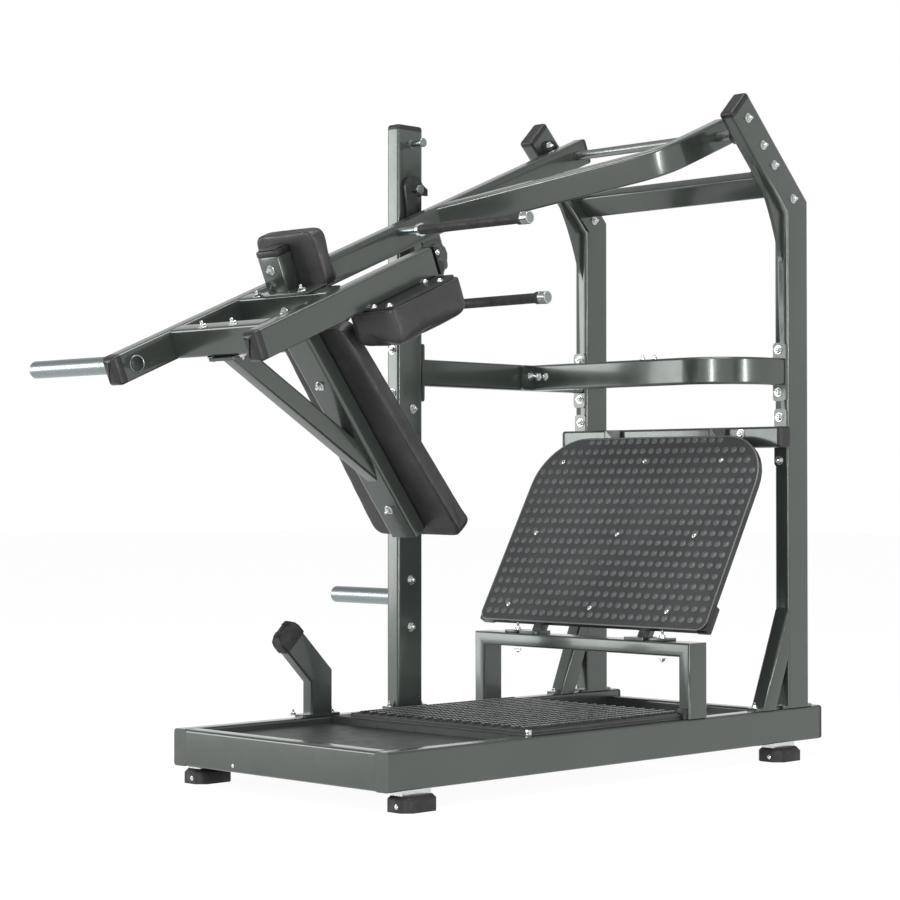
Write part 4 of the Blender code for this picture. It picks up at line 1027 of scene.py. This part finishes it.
def make_arm_bolts():
    """Bolts of the headrest, the cross tubes and the back tube, and of the shoulder plates."""
    bm = bmesh.new()
    arm_up = ARM.to_3x3() @ UP
    forward = ARM.to_3x3() @ TO_FRONT
    lean = ARM.to_3x3() @ Matrix.Rotation(BACK_LEAN, 3, "Y") @ TO_FRONT
    for point in ((-0.6606, 0.0265, 1.3142), (-0.6404, -0.1280, 1.3217)):
        add_bolt(bm, on_arm_level(point, BEAM_HALF + 0.0062), arm_up)
    for point in ((-0.8668, 0.0027, 1.2197), (-0.8615, -0.1125, 1.2219)):
        add_bolt(bm, on_arm_level(point, BEAM_HALF), arm_up)
        add_bolt(bm, on_arm_level(point, -BEAM_HALF), -arm_up)
    add_bolt(bm, ARM @ Vector((-1.462, -0.0270, 0.1080)), forward)
    add_bolt(bm, Vector((-0.6267, -0.0443, 1.2692)), forward)
    for point in ((-0.5103, -0.0535, 1.0760), (-0.2568, -0.0557, 0.7414)):
        add_bolt(bm, Vector(point), lean)
    finish_piece("arm_bolts", bm, ZINC, "arm", smooth=35)
    bm = bmesh.new()
    for x, y, z in (
        (-0.5331, -0.3506, 1.2680),
        (-0.3507, -0.3500, 1.3466),
        (-0.3486, -0.2915, 1.3509),
        (-0.5355, -0.2950, 1.2687),
    ):
        for across in (y, 2 * BODY_Y - y):
            point = on_arm_level((x, across, z), -BEAM_HALF + 0.0022)
            add_dome(bm, point, arm_up, 0.0080, 0.0065)
    finish_piece("shoulder_plate_bolts", bm, ZINC, "arm")


def make_handle_ends():
    """A knurled end with its sleeve and, at the grip's other end, a bright ring."""
    ends, rings, sleeves = bmesh.new(), bmesh.new(), bmesh.new()
    turn = axes_from(TO_NEAR)
    for x, shift, z in HANDLES:
        add_knurl(ends, Matrix.Translation((x, -0.3568 + shift, z)) @ turn, 0.0182, 0.0260)
        profile = [(0.0150, 0), (0.0195, 0.0010), (0.0195, 0.0110), (0.0150, 0.0120)]
        lathe(rings, profile, Matrix.Translation((x, 0.0520 + shift, z)) @ turn)
        profile = [(0.0140, 0), (0.0178, 0.0010), (0.0178, 0.0140), (0.0150, 0.0150)]
        lathe(sleeves, profile, Matrix.Translation((x, -0.3410 + shift, z)) @ turn)
    finish_piece("handle_knurls", ends, ZINC, "arm", smooth=20)
    finish_piece("handle_rings", rings, ZINC, "arm")
    finish_piece("handle_sleeves", sleeves, RUBBER, "arm")


def make_horn_plug():
    """The ring and the plug at the weight horn's near end, in the beam's near face."""
    place = Matrix.Translation(HORN + TO_FAR * 0.0005) @ axes_from(TO_NEAR)
    bm = bmesh.new()
    profile = [(0.0236, 0), (0.0236, 0.0016), (0.0222, 0.0026), (0.0200, 0.0018)]
    lathe(bm, profile, place, sides=32)
    finish_piece("horn_ring", bm, CHROME, "arm")
    bm = bmesh.new()
    profile = [(0.0198, 0.0002), (0.0194, 0.0030), (0.0150, 0.0042), (0.0080, 0.0048)]
    lathe(bm, profile, place, sides=32)
    finish_piece("horn_plug", bm, PLASTIC, "arm")


def make_upper_peg():
    """The headed peg above the lock hook, with the longer shaft that the photograph shows."""
    low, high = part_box("upper_peg")
    middle = (low + high) / 2
    head, collar, shaft, length = 0.0135, 0.0130, 0.0090, 0.0550
    profile = [
        (collar, 0),
        (collar, 0.0030),
        (shaft, 0.0034),
        (shaft, length - 0.0050),
        (head, length - 0.0048),
        (head, length - 0.0010),
        (head - 0.0010, length),
    ]
    bm = bmesh.new()
    lathe(bm, profile, Matrix.Translation((middle.x, high.y, middle.z)) @ axes_from(TO_NEAR))
    peg = finish_piece("upper_peg_long", bm, CHROME, "frame")
    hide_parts("upper_peg")


def make_headrest_mount():
    """The headrest's own post: a narrow tube with a domed cap on a wide flange."""
    bm = bmesh.new()
    add_block(bm, (-1.462, -0.067, 0.0440), (-1.412, 0.013, 0.1430), ARM, 0.003)
    add_block(bm, (-1.487, -0.172, 0.0403), (-1.4125, 0.034, 0.0463), ARM)
    mount = finish_piece("headrest_mount", bm, PAINT, "arm", smooth=25)
    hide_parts("headrest_post")
    bm = bmesh.new()
    add_block(bm, (-1.4630, -0.068, 0.1420), (-1.4115, 0.014, 0.1600), ARM, 0.004)
    add_block(bm, (-1.4590, -0.062, 0.1590), (-1.4155, 0.008, 0.1650), ARM, 0.004)
    finish_piece("headrest_mount_cap", bm, PLASTIC, "arm", smooth=25)


def make_beam_end():
    """The two-lobed block that closes the near beam at the rear, with its bolt."""
    bm = bmesh.new()
    start, end, half = -1.1143, -1.1080, 0.0395
    lobe, offset = 0.0165, 0.0195
    points = [(start, half), (start, -half), (end, -half)]
    for middle in (-offset, offset):
        for step in range(9):
            angle = math.radians(-90 + 22.5 * step)
            points.append((end + lobe * math.cos(angle), middle + lobe * math.sin(angle)))
    points.append((end, half))
    rings = []
    for y, inset in ((-0.2868, 0.002), (-0.2848, 0), (-0.2392, 0), (-0.2372, 0.002)):
        ring = []
        for x, z in points:
            along = x - inset if x > start else x
            ring.append(bm.verts.new(ARM @ Vector((along, y, z * (1 - inset / half)))))
        rings.append(ring)
    join_rings(bm, rings)
    block = finish_piece("near_beam_end_block", bm, PLASTIC, "arm", smooth=30)
    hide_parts("near_beam_cap_rear")
    bm = bmesh.new()
    add_dome(bm, ARM @ Vector((end + 0.003, -0.2868, offset)), TO_NEAR, 0.0060, 0.0040)
    finish_piece("near_beam_end_bolt", bm, ZINC, "arm")


def make_stop_holes():
    """Two sunk plugs in the stop's rubber end."""
    bm = bmesh.new()
    across = Vector((1, 0, 1)).normalized()
    outward = Vector((-1, 0, 1)).normalized()
    face = Vector((-0.3775, 0.252, 0.3990))
    for reach in (-0.021, 0.021):
        place = Matrix.Translation(face + across * reach - outward * 0.0006) @ axes_from(outward)
        lathe(bm, [(0.0078, 0), (0.0076, 0.0014), (0.0062, 0.0016), (0.0052, 0.0004)], place)
    finish_piece("stop_plugs", bm, PLASTIC, "frame")


def make_slot_shade_sheets():
    """Thin black sheets where the two middle bars are joined: painted shade in place of the slots
    there.
    """
    bm = bmesh.new()
    for z in (1.1792, 1.1138):
        add_block(bm, (0.592, 0.2209, z - 0.004), (0.612, 0.2222, z + 0.004), bevel=0.0003)
    # The black sheets are painted shade where the slots are.
    finish_piece("bar_slot_shade", bm, PLASTIC, "frame", smooth=25)


# --- Lights, floor and camera ----------------------------------------------------------------


def make_camera():
    """The photograph's own viewpoint and lens."""
    data = bpy.data.cameras.new("camera")
    data.lens = 92.25
    data.sensor_width = 36
    camera = add_object("camera", data)
    camera.location = (-4.641175, -4.679700, 0.798)
    camera.rotation_euler = (math.radians(90.981), 0, math.radians(-44.991))
    bpy.context.scene.camera = camera


def seen_directly(tree):
    """1 for camera, glossy and transmission rays."""
    path = tree.nodes.new("ShaderNodeLightPath")
    total = path.outputs["Is Camera Ray"]
    for other in ("Is Glossy Ray", "Is Transmission Ray"):
        node = tree.nodes.new("ShaderNodeMath")
        node.operation = "MAXIMUM"
        tree.links.new(total, node.inputs[0])
        tree.links.new(path.outputs[other], node.inputs[1])
        total = node.outputs[0]
    return total


def make_world():
    """White for the camera, darker overhead in reflections, and under half as strong as light."""
    world = bpy.data.worlds.new("studio")
    world.use_nodes = True
    tree = world.node_tree
    background = tree.nodes["Background"]
    background.inputs["Color"].default_value = (1, 1, 1, 1)
    source = tree.nodes.new("ShaderNodeTexCoord")
    split = tree.nodes.new("ShaderNodeSeparateXYZ")
    tree.links.new(source.outputs["Generated"], split.inputs["Vector"])
    overhead = spread(tree, split.outputs["Z"], 1.0, 0.5, start=0.1, end=0.7)
    path = tree.nodes.new("ShaderNodeLightPath")
    mix = tree.nodes.new("ShaderNodeMix")
    tree.links.new(path.outputs["Is Camera Ray"], mix.inputs["Factor"])
    tree.links.new(overhead, mix.inputs["A"])
    mix.inputs["B"].default_value = 1.0
    scale = tree.nodes.new("ShaderNodeMath")
    scale.operation = "MULTIPLY"
    tree.links.new(mix.outputs["Result"], scale.inputs[0])
    strength = spread(tree, seen_directly(tree), 0.45, 1.0, start=0, end=1)
    tree.links.new(strength, scale.inputs[1])
    tree.links.new(scale.outputs[0], background.inputs["Strength"])
    bpy.context.scene.world = world


def make_floor():
    """A white floor. Seen directly it is mostly glow, and the rest keeps the shadow."""
    bm = bmesh.new()
    half = 30
    corners = [(-half, -half, 0), (half, -half, 0), (half, half, 0), (-half, half, 0)]
    bm.faces.new([bm.verts.new(corner) for corner in corners])
    mesh = mesh_from("floor", bm)
    floor = add_object("floor", mesh)
    material, tree, shader = new_tree("pale_floor", 0.9)
    shader.inputs["Base Color"].default_value = (0.8, 0.8, 0.8, 1)
    shader.inputs["Specular IOR Level"].default_value = 0
    glow = tree.nodes.new("ShaderNodeEmission")
    glow.inputs["Color"].default_value = (1, 1, 1, 1)
    glow.inputs["Strength"].default_value = 1.11
    mix = tree.nodes.new("ShaderNodeMixShader")
    share = spread(tree, seen_directly(tree), 0.0, 0.86, start=0, end=1)
    tree.links.new(share, mix.inputs["Fac"])
    tree.links.new(shader.outputs["BSDF"], mix.inputs[1])
    tree.links.new(glow.outputs["Emission"], mix.inputs[2])
    tree.links.new(mix.outputs["Shader"], tree.nodes["Material Output"].inputs["Surface"])
    mesh.materials.append(material)


def make_lamp(name, location, target, size, power):
    """An area lamp turned to a target."""
    data = bpy.data.lights.new(name, "AREA")
    data.shape = "RECTANGLE"
    data.size, data.size_y = size
    data.energy = power
    lamp = add_object(name, data)
    lamp.location = location
    direction = Vector(target) - Vector(location)
    lamp.rotation_euler = direction.to_track_quat("-Z", "Y").to_euler()


def make_flag(name, location, width, height):
    """A black card that only reflections see."""
    centre = Vector(location)
    across = Vector((-centre.y, centre.x, 0)).normalized() * width / 2
    rise = UP * height / 2
    corners = [centre + across * a + rise * b for a, b in ((-1, -1), (1, -1), (1, 1), (-1, 1))]
    mesh = bpy.data.meshes.new(name)
    mesh.from_pydata(corners, [], [(0, 1, 2, 3)])
    flag = add_object(name, mesh)
    mesh.materials.append(PLASTIC)
    for ray in ("camera", "diffuse", "shadow", "transmission", "volume_scatter"):
        setattr(flag, f"visible_{ray}", False)


def make_lights():
    """Four soft lamps, and a dark card that shows in the reflections."""
    make_lamp("left_softbox", (-6.2, 6.6, 1.9), (0, 0, 1.1), (4.0, 3.8), 240)
    make_lamp("strip_left", (-5.9, -3.0, 1.4), (0, 0, 1.0), (0.5, 2.8), 125)
    make_lamp("strip_right", (-0.4, -6.4, 1.1), (0, 0, 1.0), (0.5, 2.4), 115)
    make_lamp("top_softbox", (-1.0, -0.8, 5.2), (0, 0, 0.8), (3.0, 3.0), 150)
    make_flag("flag", (-2.05, -7.0, 1.2), 2.2, 3.0)


bpy.context.scene.view_settings.view_transform = "Standard"
make_camera()
make_world()
make_floor()
make_lights()
dress_nodes()
smooth_nodes()
make_cushions()
make_dots()
make_plate_rim_highlight()
make_plate_screws()
make_plate_guards()
make_tread()
make_tread_trim()
make_frame_bolts()
make_base_bolts()
make_foot_screws()
make_arm_bolts()
make_handle_ends()
make_horn_plug()
make_upper_peg()
make_headrest_mount()
make_beam_end()
make_stop_holes()
make_slot_shade_sheets()
